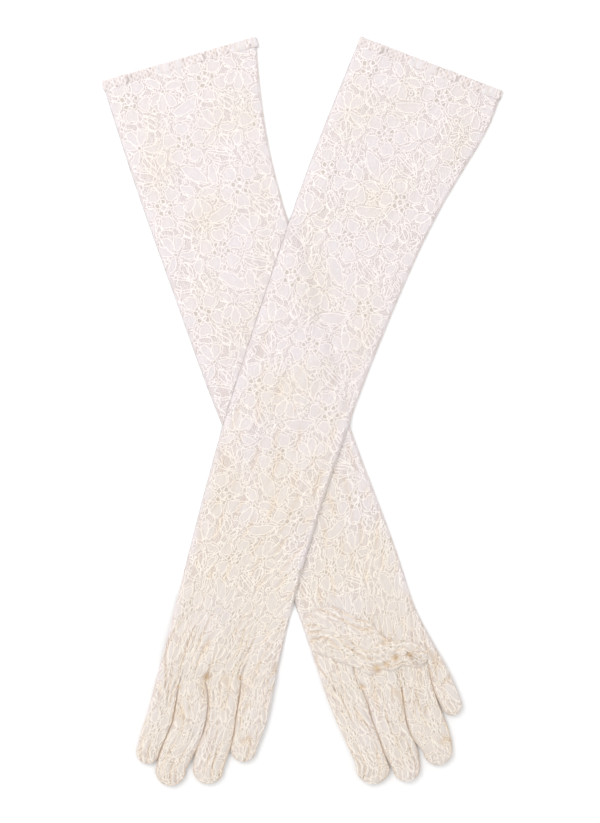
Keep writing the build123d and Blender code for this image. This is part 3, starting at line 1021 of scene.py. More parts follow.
@dataclass
class Workroom:
    """Materials, patterns and trees that every piece is made with."""

    pattern: LacePattern = field(default_factory=LacePattern)
    cord_radius: float = 0.52
    fine_radius: float = 0.42  # of the cords on the hands
    cord_sides: int = 3
    cord_flatness: tuple = (0.26, 1.0, 1.0)  # height and width of a cord's section
    cord_lift: float = 0.45  # of a cord's line over the cloth, in radii

    def __post_init__(self) -> None:
        """Builds the shared materials and trees."""
        net, tone = net_group(), tone_group()
        self.lace = LaceFinish().material(net, tone)
        self.hem_lace = LaceFinish(
            # its third colour is the painted shade in the eyelets
            "Gathered hem lace", (0.87, 0.82, 0.81), (0.8, 0.765, 0.765), (0.66, 0.61, 0.59),
            pitch=0.026, open_share=0.2,
        ).material(net, tone)
        self.cord = CordFinish("Outlining cord", (0.965, 0.918, 0.888)).material(tone)
        self.thread = CordFinish("Seam thread", (0.95, 0.915, 0.85)).material(tone)
        self.elastic = CordFinish("Covered elastic", (0.9, 0.87, 0.82)).material(tone)
        self.cords, self.stitches = cord_tree(), stitch_tree()

    def cords_on(self, name: str, panels: list, radius: float) -> bpy.types.Object:
        """The outlining cords over a piece of lace."""
        points, tones, edges, count = [], [], [], 0
        for panel in panels:
            span = (float(panel.across.min()), float(panel.across.max()))
            flat, net = self.pattern.cord_net(span, (float(panel.along[0]), float(panel.along[-1])))
            place, tone, on = panel.place(flat[:, 0], flat[:, 1], radius * self.cord_lift)
            net = net[on[net[:, 0]] & on[net[:, 1]]]
            used, net = np.unique(net, return_inverse=True)
            place[:, 2] = np.maximum(place[:, 2], 0.5 * radius)
            points.append(place[used])
            tones.append(tone[used])
            edges.append(net.reshape(-1, 2) + count)
            count += len(used)
        values = {"Radius": radius * MM, "Sides": self.cord_sides,
                  "Flatness": self.cord_flatness, "Thread": self.cord}
        lines = (np.concatenate(points), np.concatenate(edges).tolist())
        return threads(name, lines, np.concatenate(tones), self.cords, values)

    def dress_lace(self, made: bpy.types.Object, slot: str = "lace") -> None:
        """Gives a piece the lace finish."""
        made.data.materials.append(self.hem_lace if slot == "hem_lace" else self.lace)


# ---- the parts of a glove ----


@dataclass
class Bend:
    """The bodies a piece belongs to: it rides on one, or spans from one to the next."""

    body: str
    beyond: str = ""
    start: tuple = ()
    end: tuple = ()

    def apply(self, made: bpy.types.Object) -> None:
        """Parents a finished piece to its body, or, if it spans two bodies, bakes its placement
        into its mesh.
        """
        if self.beyond:
            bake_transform(made)
        else:
            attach(made, self.body)


@dataclass
class GloveShape:
    """One glove's outline, its folds, and where its fingers are."""

    name: str
    thumb_edge: list
    little_edge: list
    elbow: CutLine
    wrist: CutLine
    webs: list  # ends of the knuckle line and the webs between fingers, index side first
    fingers: dict  # points beyond the webs: name -> (thumb side, little-finger side)
    warm_from: float  # y at which the lace starts to look warmer
    hollows: list  # (x, y, radius) where the lace sinks in deep between folds and gets painted shade
    bunching: float = 0.8  # how much wider than the glove the lace gets
    bunch_over: tuple = (345.0, 515.0)  # distances from the arm opening

    def __post_init__(self) -> None:
        """Prepares its edges."""
        self.fold, self.seam = (Edge(spline(e)) for e in (self.thumb_edge, self.little_edge))
        first, last = np.array(self.thumb_edge[0]), np.array(self.little_edge[0])
        middle, run = (first + last) / 2, last - first
        self.cuff = CutLine((float(middle[0]), float(middle[1])), degrees(atan2(run[1], run[0])))
        self.cuff_width = float(np.linalg.norm(run))

    def bunch(self, along: np.ndarray) -> np.ndarray:
        """How much wider the lace is than the glove where it bunches, along the glove."""
        return 1 + self.bunching * smooth(along, *self.bunch_over)

    def sunk(self, xy: np.ndarray) -> np.ndarray:
        """How deep in a hollow of the crumpled lace (..., 2) places are, 0 to 1; it sinks the cloth
        and lays painted shade there.
        """
        deep = np.zeros(xy.shape[:-1])
        for x, y, radius in self.hollows:
            away = np.hypot(xy[..., 0] - x, xy[..., 1] - y) / radius
            deep = np.maximum(deep, np.exp(-(away**2)))
        return deep

    def warmth(self, xy: np.ndarray) -> np.ndarray:
        """How warm the ivory is at (..., 2) places."""
        slow = Ripple(RIPPLE_SEED + 9, 26, 90)(xy[..., 0], xy[..., 1])
        down = smooth(-xy[..., 1], -self.warm_from, WARM_OVER - self.warm_from)
        return np.clip(0.2 + 0.8 * down + 0.3 * slow, 0, 1)


LEFT = GloveShape(
    name="left",
    thumb_edge=[
        (46, 292), (4, 187), (-27, 97), (-63.5, -18), (-95.5, -139), (-115, -214), (-121, -236),
    ],
    little_edge=[
        (156.8, 249.5), (146.5, 222), (128, 190), (99.6, 140), (82, 102), (41, 0), (-9, -160),
        (-22, -216), (-27, -240),
    ],
    elbow=CutLine((54, 164), -25),
    wrist=CutLine((-50, -139), -15.5),
    webs=[(-115, -214), (-97, -219), (-75.5, -213), (-47.5, -212), (-21, -212)],
    fingers={
        "index": (
            [(-122, -240), (-127.5, -258), (-130, -267)],
            [(-99, -232), (-102, -246), (-108, -260), (-111.5, -269)],
        ),
        "middle": (
            [(-99, -232), (-102, -246), (-108, -260), (-113, -275), (-114.8, -283)],
            [(-73.5, -225), (-74.5, -240), (-78, -255), (-83, -267), (-91, -282)],
        ),
        "ring": (
            [(-73.5, -225), (-74.5, -240), (-78, -255), (-83, -267), (-85.5, -281)],
            [(-49, -225), (-51.5, -240), (-53.5, -255), (-57, -268), (-61.5, -281)],
        ),
        "little": (
            [(-49, -225), (-51.5, -240), (-53.5, -255), (-56, -265)],
            [(-26.5, -240), (-31, -255), (-35.5, -266)],
        ),
    },
    warm_from=60.0,
    hollows=[(-74.5, -209.0, 2.6), (-96.5, -217, 1.6), (-48.5, -210, 1.8)],
)
RIGHT = GloveShape(
    name="right",
    thumb_edge=[
        (-156.8, 257), (-129.5, 172), (-99, 86), (-67.5, 0), (-17, -121), (13.3, -207.5),
        (20, -226),
    ],
    little_edge=[
        (-36.5, 292), (-26, 206), (8.5, 86), (39, -17.5), (77, -121), (88.6, -155.6), (112, -200),
        (118, -212),
    ],
    elbow=CutLine((-72, 170), 16),
    wrist=CutLine((37, -143), 21.5),
    webs=[(15.2, -213), (47, -219), (78, -217), (99, -202), (112.3, -200.5)],
    fingers={
        "index": (
            [(25, -240), (34, -260), (42, -278)],
            [(52, -232), (55, -243), (60, -256), (64, -268), (69, -281)],
        ),
        "middle": (
            [(52, -232), (55, -243), (60, -256), (64, -268), (71, -281.5)],
            [(80, -232), (83.5, -250), (89, -262), (92.5, -279)],
        ),
        "ring": (
            [(80, -232), (83.5, -250), (89, -261), (95, -268)],
            [(104, -222), (110, -238), (116, -255), (117.5, -266)],
        ),
        "little": ([(104, -222), (109.5, -233.5)], [(119.5, -215), (125, -229)]),
    },
    warm_from=20.0,
    hollows=[
        (58.6, -202.5, 3.2), (73, -194, 3.0), (84, -191.5, 2.6), (-3, -138, 3.0), (47, -217, 2.2),
        (66, -199, 2.4),
    ],
)
RIGHT_THUMB = (  # its two sides, root first
    [
        (1.0, -163), (9, -157.5), (20, -154), (33, -157), (44, -163), (55, -168), (63, -177),
        (74, -180.5), (83, -181), (90, -183),
    ],
    [
        (9.3, -190), (20, -193.5), (33, -199), (45, -203.5), (55, -207.5), (61, -203.5),
        (70, -204.5), (78, -201), (88, -202),
    ],
)
LEFT_THUMB = ([(-96, -150), (-88, -170), (-76, -196)], [(-72, -146), (-63, -166), (-56.5, -189)])
LEFT_THUMB_PIVOT = (-84.0, -150.0)
LEFT_THUMB_SWING = np.radians(np.arange(-80, 0, 4))


def coons(rows: list, columns: tuple, u: np.ndarray, f: np.ndarray) -> np.ndarray:
    """Fills the space between four lines.

    Args:
        rows: (m, 2) points of the first row and of the last.
        columns: (n, 2) points of the first column and of the last.
        u: (m,) shares across.
        f: (n,) shares along.

    Returns:
        The grid, (n, m, 2).
    """
    (start, end), (first, last) = rows, columns
    u, f = u[None, :, None], f[:, None, None]
    along = (1 - f) * start[None] + f * end[None]
    across = (1 - u) * first[:, None] + u * last[:, None]
    ends = [(1 - f) * start[k] + f * end[k] for k in (0, -1)]
    return along + across - ((1 - u) * ends[0] + u * ends[1])


def oval(share: np.ndarray, power: float = 2.3) -> np.ndarray:
    """How full a flattened tube is across, 0 at its two sides."""
    return np.maximum(1 - np.abs(2 * share - 1) ** power, 0) ** (1 / power)


def finger_shares(count: int) -> np.ndarray:
    """Shares across a finger, closer together at its sides."""
    return (1 - np.cos(pi * np.arange(count) / (count - 1))) / 2


@dataclass
class Creases:
    """Lengthwise gathers in crumpled lace, in a glove's own pattern coordinates."""

    seed: int
    spacing: float = 9.5
    depth: float = 1.5

    def __call__(self, across: np.ndarray, along: np.ndarray) -> tuple:
        """Height, and mask of painted crease shade, at pattern coordinates.

        Args:
            across: pattern coordinate across.
            along: pattern coordinate along.

        Returns:
            Heights around zero, and masks of painted shade in the valleys, from 0 to 1.
        """
        sway = Ripple(self.seed, 26, 60, 1.6)(across, along) * 0.8
        ridge = np.abs(np.sin(pi * (across / self.spacing + sway)))
        fade = 0.25 + 0.75 * smooth(Ripple(self.seed + 1, 14, 34, 2.2)(across, along), -0.6, 0.6)
        fine = np.abs(np.sin(pi * (across / (0.62 * self.spacing) - 1.7 * sway + along / 60)))
        height = self.depth * (fade * (ridge**0.7 - 0.62) + 0.28 * (fine**0.8 - 0.6))
        # the second value is painted shade where the ridges dip
        return height, fade * (1 - ridge) ** 1.6


@dataclass
class FlatPiece:
    """A stretch of sleeve: the upper sleeve or the forearm."""

    shape: GloveShape
    section: str
    first: CutLine
    last: CutLine
    along_start: float
    bend: Bend
    under: HeightMap
    thickness: float = SLEEVE_THICKNESS
    column_step: float = 1.45
    profile: float = 6.0  # power of its fullness across: high keeps it flat to its edges
    edge_cool: float = 6.0  # width of the strip along its edges that looks less warm

    def columns(self) -> np.ndarray:
        """Shares across at which the cloth's points lie."""
        return np.linspace(0, 1, int(self.shape.cuff_width / self.column_step))

    def ends(self, u: np.ndarray) -> tuple:
        """Arc lengths on the two edges, and the points of the first and last rows."""
        edges = (self.shape.fold, self.shape.seam)
        spans = [(edge.crossing(self.first), edge.crossing(self.last)) for edge in edges]
        rows = []
        for k in (0, 1):
            a, b = (edge.point(span[k]) for edge, span in zip(edges, spans))
            rows.append(a + (b - a) * u[:, None])
        return spans, rows

    def relief(self, xy: np.ndarray, across: np.ndarray, along: np.ndarray) -> tuple:
        """How far the upper layer stands off its even height, and its mask of painted shade in the
        streaks' troughs.
        """
        slow = Ripple(RIPPLE_SEED, 22, 70, 1.5)(xy[..., 0], xy[..., 1])
        streak = Ripple(RIPPLE_SEED + 1, 6, 13, 5.0)(across, along)
        # painted shade in the troughs of the lengthwise streaks, stronger down the glove
        warm = 0.25 * smooth(-streak, 0.1, 1.2) * smooth(along, 120, 400)
        return 0.34 * slow + 0.2 * streak, warm * np.ones(xy.shape[:2])

    def fullness(self, u: np.ndarray, reach: np.ndarray, length: float) -> tuple:
        """Half the thickness at each point, and the height of its middle over the cloth below."""
        half = self.thickness / 2 * np.broadcast_to(oval(u, self.profile), (len(reach), len(u)))
        return half, half

    def panels(self) -> list:
        """The upper and the lower layer."""
        u = self.columns()
        spans, rows = self.ends(u)
        length = float(np.mean([b - a for a, b in spans]))
        f = np.linspace(0, 1, int(length / SHEET_STEP) + 2)
        edges = zip((self.shape.fold, self.shape.seam), spans)
        xy = coons(rows, tuple(edge.stretch(*span, f) for edge, span in edges), u, f)
        width = np.linalg.norm(xy[:, -1] - xy[:, 0], axis=1)
        along = self.along_start + f * length
        across = u[None] * (width * self.shape.bunch(along))[:, None]
        self.end_across, self.flat = float(across[-1, -1]), (2 * float(width.max()), length)
        self.flat_area = 2 * area_under(width, f * length)
        half, middle = self.fullness(u, f * length, length)
        rise, crease_shade = self.relief(xy, across, along[:, None])
        edge = np.clip(half / (self.thickness / 2), 0, 1)
        rim = np.minimum(u[None], 1 - u[None]) * width[:, None]
        cooled = 0.5 * np.exp(-((rim / self.edge_cool) ** 2))
        warmth = np.clip(self.shape.warmth(xy) - cooled, 0, 1)
        base = self.under.at(xy) + ON_TABLE + middle
        upper = np.maximum(base + half + rise * edge, base - half + 0.5 * edge)
        return both_panels(xy, (upper, base - half), across, along, crease_shade, warmth)


@dataclass
class HandPiece(FlatPiece):
    """The hand, whose far end divides into the four fingers."""

    creases: Creases = field(default_factory=lambda: Creases(21))
    finger_columns: int = 27
    divides: float = 20.0  # length over which the fingers' roots form
    gathers_over: tuple = (-4, 48)  # distances from the wrist over which the creases deepen

    def columns(self) -> np.ndarray:
        """Shares across: those of the four fingers' own points, one finger after another."""
        webs = np.array(self.shape.webs, float)
        run = np.concatenate([[0], np.cumsum(np.linalg.norm(np.diff(webs, axis=0), axis=1))])
        self.web_shares = run / run[-1]
        parts = [
            a + (b - a) * finger_shares(self.finger_columns)[:-1]
            for a, b in zip(self.web_shares[:-1], self.web_shares[1:])
        ]
        return np.concatenate([*parts, [1.0]])

    def ends(self, u: np.ndarray) -> tuple:
        """The wrist line, and the knuckle line through the webs."""
        edges, webs = (self.shape.fold, self.shape.seam), np.array(self.shape.webs, float)
        spans = [(e.crossing(self.first), e.nearest(webs[k])) for e, k in zip(edges, (0, -1))]
        a, b = (edge.point(span[0]) for edge, span in zip(edges, spans))
        webs[0], webs[-1] = (edge.point(span[1]) for edge, span in zip(edges, spans))
        self.knuckles = webs
        end = np.stack([np.interp(u, self.web_shares, webs[:, k]) for k in (0, 1)], axis=1)
        return spans, [a + (b - a) * u[:, None], end]

    def fullness(self, u: np.ndarray, reach: np.ndarray, length: float) -> tuple:
        """Flat at the wrist, and four ovals side by side at the knuckles."""
        ovals = np.zeros(len(u))
        for a, b in zip(self.web_shares[:-1], self.web_shares[1:]):
            inside = (u >= a - TINY) & (u <= b + TINY)
            ovals = np.where(inside, oval(np.clip((u - a) / (b - a), 0, 1)), ovals)
        formed = smooth(reach, length - self.divides, length)[:, None]
        swell = smooth(reach, length - 2.5 * self.divides, length)[:, None]
        thick = self.thickness + (FINGER_THICKNESS - self.thickness) * swell
        half = thick / 2 * ((1 - formed) * oval(u, self.profile)[None] + formed * ovals[None])
        return half, (1 - formed) * half + formed * thick / 2

    def relief(self, xy: np.ndarray, across: np.ndarray, along: np.ndarray) -> tuple:
        """Gathers that deepen towards the fingers."""
        rise, _ = super().relief(xy, across, along)
        height, shade_mask = self.creases(across, np.broadcast_to(along, across.shape))
        share = smooth(np.broadcast_to(along, across.shape) - along[0], *self.gathers_over)
        sunk = self.shape.sunk(xy)
        height = rise * (1 - share) + height * share - 1.3 * sunk
        # painted shade in the gathers' valleys and in the hollows
        return height, np.clip(0.55 * shade_mask * share + sunk, 0, 1)


@dataclass
class DigitPiece:
    """A finger or thumb of lace: a flattened tube with a round closed tip."""

    shape: GloveShape
    section: str
    edges: tuple  # its thumb-side and little-side points, root first
    root_across: tuple  # pattern coordinates of its two sides at the root
    along_start: float
    bend: Bend
    under: HeightMap
    creases: Creases
    thickness: float = FINGER_THICKNESS
    root_closed: bool = False
    fullness_power: float = 2.3
    rosette: tuple = ()  # (x, y, radius) where the cloth is crumpled round a point
    crumple: float = 0.0  # depth of its wrinkles in every direction
    inner_sides: tuple = (True, True)
    columns: int = 21
    gather: float = 1.8  # how much wider the lace is than the finger it is bunched on
    gathers_by: float = 18.0  # distance from its root at which it is bunched in full

    def crumpled(self, xy: np.ndarray, height: np.ndarray, shade_mask: np.ndarray) -> tuple:
        """Heights, and the mask of painted shade in the valleys, of crumpled lace with its hollows,
        wrinkles and rosette.
        """
        wrinkle = Ripple(63, 4.5, 5.5)(xy[..., 0], xy[..., 1])
        height = height + self.crumple * wrinkle
        # painted shade in the wrinkles' troughs
        shade_mask = shade_mask + 0.5 * (self.crumple > 0) * smooth(-wrinkle, 0.5, 1.6)
        if self.rosette:
            x, y, radius = self.rosette
            dx, dy = xy[..., 0] - x, xy[..., 1] - y
            away, turn = np.hypot(dx, dy) / radius, np.arctan2(dy, dx)
            fold = np.abs(np.sin(4.5 * turn + 2.4 * away + 0.8 * wrinkle))
            share = 1 - smooth(away, 0.55, 1.1)
            height = height * (1 - share) + share * (1.7 * fold - 0.5)
            # painted shade between the rosette's folds
            shade_mask = shade_mask * (1 - share) + share * (1 - fold) ** 2
        sunk = self.shape.sunk(xy)
        return height - 1.6 * sunk, np.clip(shade_mask + sunk, 0, 1)

    def footprint(self, u: np.ndarray) -> tuple:
        """Where its cloth lies, seen from above.

        Args:
            u: shares across.

        Returns:
            Places (n, m, 2), each row's distance from the root, how full the tip leaves it, and
            the whole length.
        """
        first, last = (Edge(spline(side, 160)) for side in self.edges)
        length = float((first.length[-1] + last.length[-1]) / 2)
        f = np.linspace(0, 1, int(length / FINGER_STEP) + 2)
        left, right = (edge.stretch(0, edge.length[-1], f) for edge in (first, last))
        body = left[:, None] + (right - left)[:, None] * u[None, :, None]
        centre, side = (left[-1] + right[-1]) / 2, (right[-1] - left[-1]) / 2
        ahead = np.array([side[1], -side[0]])
        if ahead @ (centre - (left[0] + right[0]) / 2) < 0:
            ahead = -ahead
        radius = float(np.linalg.norm(side))
        turn = np.linspace(0, pi / 2, int(radius * pi / 2 / FINGER_STEP) + 2)[1:]
        shrunk = side * np.concatenate([np.cos(turn[:-1]), [0.03]])[:, None]
        cap = (centre + ahead * np.sin(turn)[:, None])[:, None]
        cap = cap + shrunk[:, None] * (2 * u - 1)[None, :, None]
        full = np.concatenate([np.ones(len(f)), np.cos(turn[:-1]) ** 0.8, [0.0]])
        reach = np.concatenate([f * length, length + radius * turn])
        return np.concatenate([body, cap]), reach, full, length + radius

    def pattern_across(self, u: np.ndarray, wide: np.ndarray, reach: np.ndarray) -> np.ndarray:
        """Pattern coordinates across, which meet the hand's at the root."""
        run, middle = self.root_across[1] - self.root_across[0], np.mean(self.root_across)
        at_root = abs(run) / max(float(wide[0]), 1e-6)
        gathered = at_root + (self.gather - at_root) * smooth(reach, 0, self.gathers_by)
        away = (u[None] - 0.5) * np.maximum(wide, 0.5)[:, None] * gathered[:, None]
        return middle + (1 if run > 0 else -1) * away

    def panels(self) -> list:
        """The upper and the lower layer."""
        u = finger_shares(self.columns)
        xy, reach, full, whole = self.footprint(u)
        wide = np.linalg.norm(xy[:, -1] - xy[:, 0], axis=1)
        thick = self.thickness * full * (1 - 0.12 * smooth(reach, 0.4 * whole, whole))
        if self.root_closed:
            thick = thick * (1 - (1 - np.clip(reach / (0.3 * whole), 0, 1)) ** 3)
        half = thick[:, None] / 2 * oval(u, self.fullness_power)[None]
        across, along = self.pattern_across(u, wide, reach), self.along_start + reach
        height, shade_mask = self.creases(across, np.broadcast_to(along[:, None], across.shape))
        height, shade_mask = self.crumpled(xy, height, shade_mask)
        fullness = half / (self.thickness / 2)
        base = self.under.at(xy) + ON_TABLE + (half if self.root_closed else self.thickness / 2)
        lower = base - half
        upper = base + half + height * np.clip(fullness * 1.4, 0, 1)
        upper = np.maximum(upper, lower + 0.4 * fullness)
        # Painted shade along the sides where fingers touch, added to the shade in creases and
        # hollows.
        gap = np.zeros(across.shape)
        for touching, away in zip(self.inner_sides, (u, 1 - u)):
            if touching:
                gap = np.maximum(gap, np.exp(-((away[None] * wide[:, None] / 1.3) ** 2)))
        gap *= smooth(reach, -2, 6)[:, None]
        crease_shade = np.clip(np.maximum(0.55 * shade_mask + 0.4 * gap, self.shape.sunk(xy)), 0, 1)
        self.flat = (2 * float(wide.max()), float(reach[-1]))
        self.flat_area = 2 * area_under(wide, reach)
        return both_panels(xy, (upper, lower), across, along, crease_shade, self.shape.warmth(xy))


@dataclass
class Hem:
    """The gathered hem round an arm opening: a flattened ring of folded lace."""

    shape: GloveShape
    width: float = 8.0
    middle: float = 1.05  # height of the arm opening over the table
    layer_height: float = 1.0
    gather: float = 3.3
    ring_step: float = 0.75  # between points round the ring
    section_points: int = 14
    section_step: float = 1.3  # between them, in pattern millimetres
    lowest: float = 0.03

    def path(self) -> tuple:
        """The flattened line round the arm opening.

        Returns:
            Arc lengths (n,), places across and up from the middle (n, 2), and outward
            directions (n, 2).
        """
        turn_radius = self.layer_height / 2 + 0.06
        straight = self.shape.cuff_width - 2 * turn_radius
        way = straight + pi * turn_radius  # along one layer and round one turn
        count = int(2 * self.shape.cuff_width / self.ring_step)
        s = np.linspace(0, 2 * way, count, endpoint=False)
        side, d = np.where(s < way, 1.0, -1.0), np.where(s < way, s, s - way)
        angle = np.maximum(d - straight, 0) / turn_radius
        out = side[:, None] * np.stack([np.sin(angle), np.cos(angle)], axis=1)
        place = turn_radius * out
        place[:, 0] += side * (np.minimum(d, straight) - straight / 2)
        return s, place, out

    def build(self, name: str, pattern: LacePattern) -> bpy.types.Object:
        """The ring's mesh, with its pattern map."""
        cuff = self.shape.cuff
        s, place, out = self.path()
        wave = np.sin(2 * pi * s / self.gather + 2.4 * Ripple(3, 9, 30)(s, s * 0))
        puff = 0.28 + 0.26 * wave * (0.6 + 0.4 * Ripple(4, 10, 30)(s, s * 0))
        t = np.linspace(0, 2 * pi, self.section_points, endpoint=False)
        deep = np.abs(np.cos(t)) ** 0.6 * np.sign(np.cos(t)) * self.width / 2
        thick = np.abs(np.sin(t)) ** 0.7 * np.sign(np.sin(t)) * self.layer_height / 2
        rim = 0.35 * wave[:, None] * (deep[None] < 0) + 0.25 * Ripple(8, 6, 15)(s, s * 0)[:, None]
        depth = self.width / 2 + deep[None] + rim
        share = (np.abs(thick[None]) / self.layer_height * 2) ** 0.5
        outward = thick[None] + np.where(thick[None] > 0, puff[:, None] * share, 0)
        cross = place[:, None, 0] + out[:, None, 0] * outward
        n, m = len(s), len(t)
        points = np.zeros((n, m, 3))
        points[..., :2] = np.array(cuff.middle) + cuff.along() * cross[..., None]
        points[..., :2] -= cuff.towards_cuff() * depth[..., None]
        height = self.middle + ON_TABLE + place[:, None, 1] + out[:, None, 1] * outward
        points[..., 2] = np.maximum(height, self.lowest)
        index = np.arange(n * m).reshape(n, m)
        i, j = np.arange(n)[:, None], np.arange(m)[None]
        quads = np.stack([index[(i + a) % n, (j + b) % m] for a, b in CORNERS], axis=-1)
        made = make_object(name, points.reshape(-1, 3), quads.reshape(-1, 4).tolist())
        steps, mapped = np.array(CORNERS), np.zeros((n, m, 4, 2))
        mapped[..., 0] = s[:, None, None] + steps[:, 0] * (s[1] - s[0])
        mapped[..., 1] = (np.arange(m)[None, :, None] + steps[:, 1]) * self.section_step
        set_map(made, mapped)
        dense, eyelet = pattern.sample(mapped[..., 0], mapped[..., 1])
        # extra small eyelets, which take the eyelets' painted shade
        spots = 1.7 * Ripple(14, 3.5, 7.0)(mapped[..., 0], mapped[..., 1]) - 1.5
        look = np.zeros((n, m, 4, 4))
        look[..., 0], look[..., 1] = dense, np.maximum(eyelet, spots)
        # painted shade in the valleys between the pleats
        look[..., 3] = np.clip(-wave, 0, 1)[:, None, None] * 0.25
        set_lace(made, "CORNER", look)
        return made


@dataclass
class Glove:
    """One glove, made and dressed piece by piece."""

    shape: GloveShape
    room: Workroom
    under: HeightMap
    below: str  # what the glove lies on
    elbow_blend: float = 16.0
    wrist_blend: float = 14.0
    root_blend: float = 11.0
    hem_overlap: float = 0.6  # of the sleeve's lace into the hem
    stitch_inset: float = 0.25  # of the seam's stitches from the cloth's edge
    stitch_lift: float = 0.75  # clear of what lies below
    stitch: tuple = (1.5, 0.52, 0.16)  # spacing, loop radius, thread radius
    slant: float = 0.5  # of the loops, in radians
    tops: list = field(default_factory=list)

    def name(self, piece: str) -> str:
        """A piece's full name."""
        return f"{self.shape.name}_{piece}"

    def bend(self, body: str, beyond: str, start: np.ndarray, way: np.ndarray) -> Bend:
        """A bend from one body to the next, along the way that leads on from its start."""
        return Bend(self.name(body), self.name(beyond), tuple(start), tuple(start + way))

    def finish(
        self, piece: FlatPiece | DigitPiece, fourchettes: list = ()
    ) -> list:
        """Makes a piece of lace with its cords, sets both on their bodies, and hides the parts they
        replace.

        Args:
            piece: the piece's shape.
            fourchettes: which side strips it stands for, inner or outer.

        Returns:
            Its panels.
        """
        section, panels = piece.section, piece.panels()
        lace = sheet_object(self.name(f"{section}_lace"), panels, self.room.pattern)
        self.room.dress_lace(lace)
        on_sleeve = section in ("upper_sleeve", "forearm")
        radius = self.room.cord_radius if on_sleeve else self.room.fine_radius
        cords = self.room.cords_on(self.name(f"{section}_cords"), panels, radius)
        for made in (lace, cords):
            piece.bend.apply(made)
        nodes = ["back", "palm", *(f"fourchette_{side}" for side in fourchettes)]
        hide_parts(*[self.name(f"{section}_{node}") for node in nodes])
        self.tops.append(panels[0].points)
        faces = (len(lace.data.polygons), len(cords.data.polygons))
        log.info("%s: %d faces, cords %d faces", lace.name, *faces)
        return panels

    def seam(self, section: str, panels: list, bend: Bend) -> None:
        """Overlock stitches down the little-finger side of a section."""
        upper, lower = (panel.points for panel in panels)
        line = upper[:, -1].copy()
        line[:, 2] = (upper[:, -1, 2] + lower[:, -1, 2]) / 2 + self.stitch_lift
        inwards = upper[:, -3, :2] - upper[:, -1, :2]
        line[:, :2] += inwards / np.linalg.norm(inwards, axis=1, keepdims=True) * self.stitch_inset
        tones = np.zeros((len(line), 4))
        tones[:, 2] = panels[0].warmth[:, -1]
        spacing, loop, thread = (size * MM for size in self.stitch)
        values = {"Spacing": spacing, "Loop Radius": loop, "Thread Radius": thread,
                  "Slant": self.slant, "Thread": self.room.thread}
        edges = [(k, k + 1) for k in range(len(line) - 1)]
        name = self.name(f"{section}_seam_stitches")
        made = threads(name, (line, edges), tones, self.room.stitches, values)
        bend.apply(made)
        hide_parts(self.name(f"{section}_seam"))
        log.info("%s: %d faces", made.name, len(made.data.polygons))

    def build(self) -> None:
        """Makes every piece of the glove but its thumb."""
        shape, hem = self.shape, Hem(self.shape)
        up = shape.elbow.towards_cuff() * self.elbow_blend
        down = -shape.wrist.towards_cuff() * self.wrist_blend
        over_elbow = self.bend("forearm", "upper_sleeve", np.array(shape.elbow.middle), up)
        over_wrist = self.bend("forearm", "hand", np.array(shape.wrist.middle), down)
        ring = hem.build(self.name("hem_lace"), self.room.pattern)
        self.room.dress_lace(ring, "hem_lace")
        Bend(self.name("upper_sleeve")).apply(ring)
        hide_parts(self.name("hem_back"), self.name("hem_palm"))
        start, opening = hem.width, shape.cuff.shifted(self.hem_overlap - hem.width)
        for kind, section, first, last, bend, sewn_on in (
            (FlatPiece, "upper_sleeve", opening, shape.elbow, over_elbow, [ring]),
            (FlatPiece, "forearm", shape.elbow, shape.wrist, Bend(self.name("forearm")), []),
            (HandPiece, "hand", shape.wrist, shape.wrist, over_wrist, []),
        ):
            piece = kind(shape, section, first, last, start, bend, self.under)
            self.seam(section, self.finish(piece), bend)
            start += piece.flat[1]
        self.build_fingers(piece, start)
        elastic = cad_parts[self.name("hem_elastic")]
        elastic.data.materials.clear()
        elastic.data.materials.append(self.room.elastic)

    def build_fingers(self, palm: HandPiece, start: float) -> None:
        """Makes the four fingers, which go on from the hand's knuckle line."""
        knuckles, shares = palm.knuckles, palm.web_shares
        for k, (finger, edges) in enumerate(self.shape.fingers.items()):
            sides = tuple([tuple(knuckles[k + side]), *edges[side]] for side in (0, 1))
            root = (knuckles[k] + knuckles[k + 1]) / 2
            ahead = (np.array(sides[0][-1]) + np.array(sides[1][-1])) / 2 - root
            bend = self.bend("hand", finger, root, ahead / np.linalg.norm(ahead) * self.root_blend)
            across = (shares[k] * palm.end_across, shares[k + 1] * palm.end_across)
            inner = {"inner": k > 0, "outer": k < len(self.shape.fingers) - 1}
            made = DigitPiece(self.shape, finger, sides, across, start, bend, self.under,
                              palm.creases, inner_sides=tuple(inner.values()),
                              columns=palm.finger_columns)
            self.finish(made, [side for side, touching in inner.items() if touching])


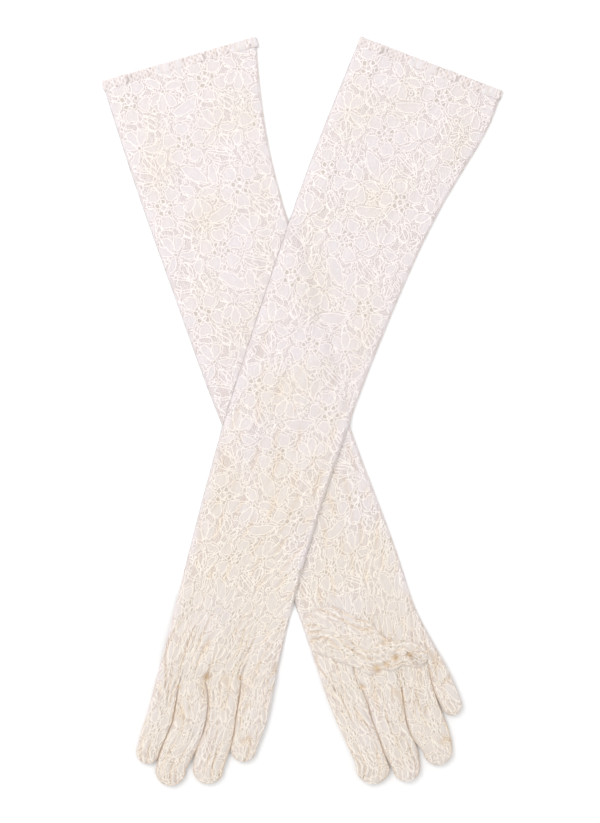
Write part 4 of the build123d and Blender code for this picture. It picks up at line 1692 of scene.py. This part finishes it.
@dataclass(frozen=True)
class Studio:
    """The table, the light and the camera."""

    floor_size: float = 30.0
    table: tuple = (0.95, 0.95, 0.95)
    lens: float = 100.0
    sensor: float = 36.0
    clip: tuple = (0.1, 60.0)
    view_height: float = 0.6452  # of the picture at the table
    centre: tuple = (-0.0016, -0.0016)
    world: float = 0.9
    key: float = 15.5
    key_size: float = 1.3
    key_place: tuple = (-1.0, 0.9, 1.5)

    def build(self) -> None:
        """Sets the scene round the gloves."""
        scene = bpy.context.scene
        scene.view_settings.view_transform = "Standard"
        bpy.ops.mesh.primitive_plane_add(size=self.floor_size)
        floor = bpy.context.object
        floor.name = "Table"
        top, _, shader = new_material("Table top", 0.9, 0.0)
        shader["Base Color"].default_value = rgba(self.table)
        floor.data.materials.append(top)
        world = bpy.data.worlds.new("Studio")
        scene.world = world
        world.use_nodes = True
        background = world.node_tree.nodes["Background"]
        background.inputs[0].default_value = WHITE
        background.inputs[1].default_value = self.world
        light = bpy.data.lights.new("Key", "AREA")
        light.shape, light.size, light.energy = "DISK", self.key_size, self.key
        key = bpy.data.objects.new("Key", light)
        key.location = self.key_place
        key.rotation_euler = (-key.location).to_track_quat("-Z", "Y").to_euler()
        scene.collection.objects.link(key)
        camera = bpy.data.cameras.new("Camera")
        camera.lens, camera.sensor_width = self.lens, self.sensor
        camera.clip_start, camera.clip_end = self.clip
        eye = bpy.data.objects.new("Camera", camera)
        eye.location = (*self.centre, self.view_height * self.lens / self.sensor)
        scene.collection.objects.link(eye)
        scene.camera = eye


def main() -> None:
    """Builds the studio and both gloves.

    The left glove lies over the right one, and over every place its own thumb can swing to.
    """
    Studio().build()
    room, table = Workroom(), HeightMap()
    right = Glove(RIGHT, room, table, "Table")
    right.build()
    root = Bend("right_hand", "right_thumb", (5.2, -177.1), (11.9, -175.0))
    on_palm = laid_over(right.tops, 0.1, 5.0)
    right.finish(DigitPiece(
        RIGHT, "thumb", RIGHT_THUMB, (110, 137), 430, root, on_palm, Creases(33, 11.0, 1.1),
        thickness=2.8, root_closed=True, inner_sides=(False, False), columns=57, gather=1.6,
        fullness_power=1.3, rosette=(87.0, -192.0, 12.0), crumple=0.55,
    ))
    left = Glove(LEFT, room, table, "right_forearm_lace")
    root = Bend("left_hand", "left_thumb", (-84.0, -148.0), (-79.0, -158.0))
    left.finish(DigitPiece(
        LEFT, "thumb", LEFT_THUMB, (20, 44), 430, root, table, Creases(41, 5.0, 0.1),
        thickness=1.7, root_closed=True, inner_sides=(False, False),
    ))
    swung = [turned(left.tops[0], LEFT_THUMB_PIVOT, turn) for turn in LEFT_THUMB_SWING]
    left.under = laid_over([*right.tops, *left.tops, *swung], 0.6)
    left.build()


if __name__ == "__main__":
    logging.basicConfig(level=logging.INFO, format="%(message)s")
    main()
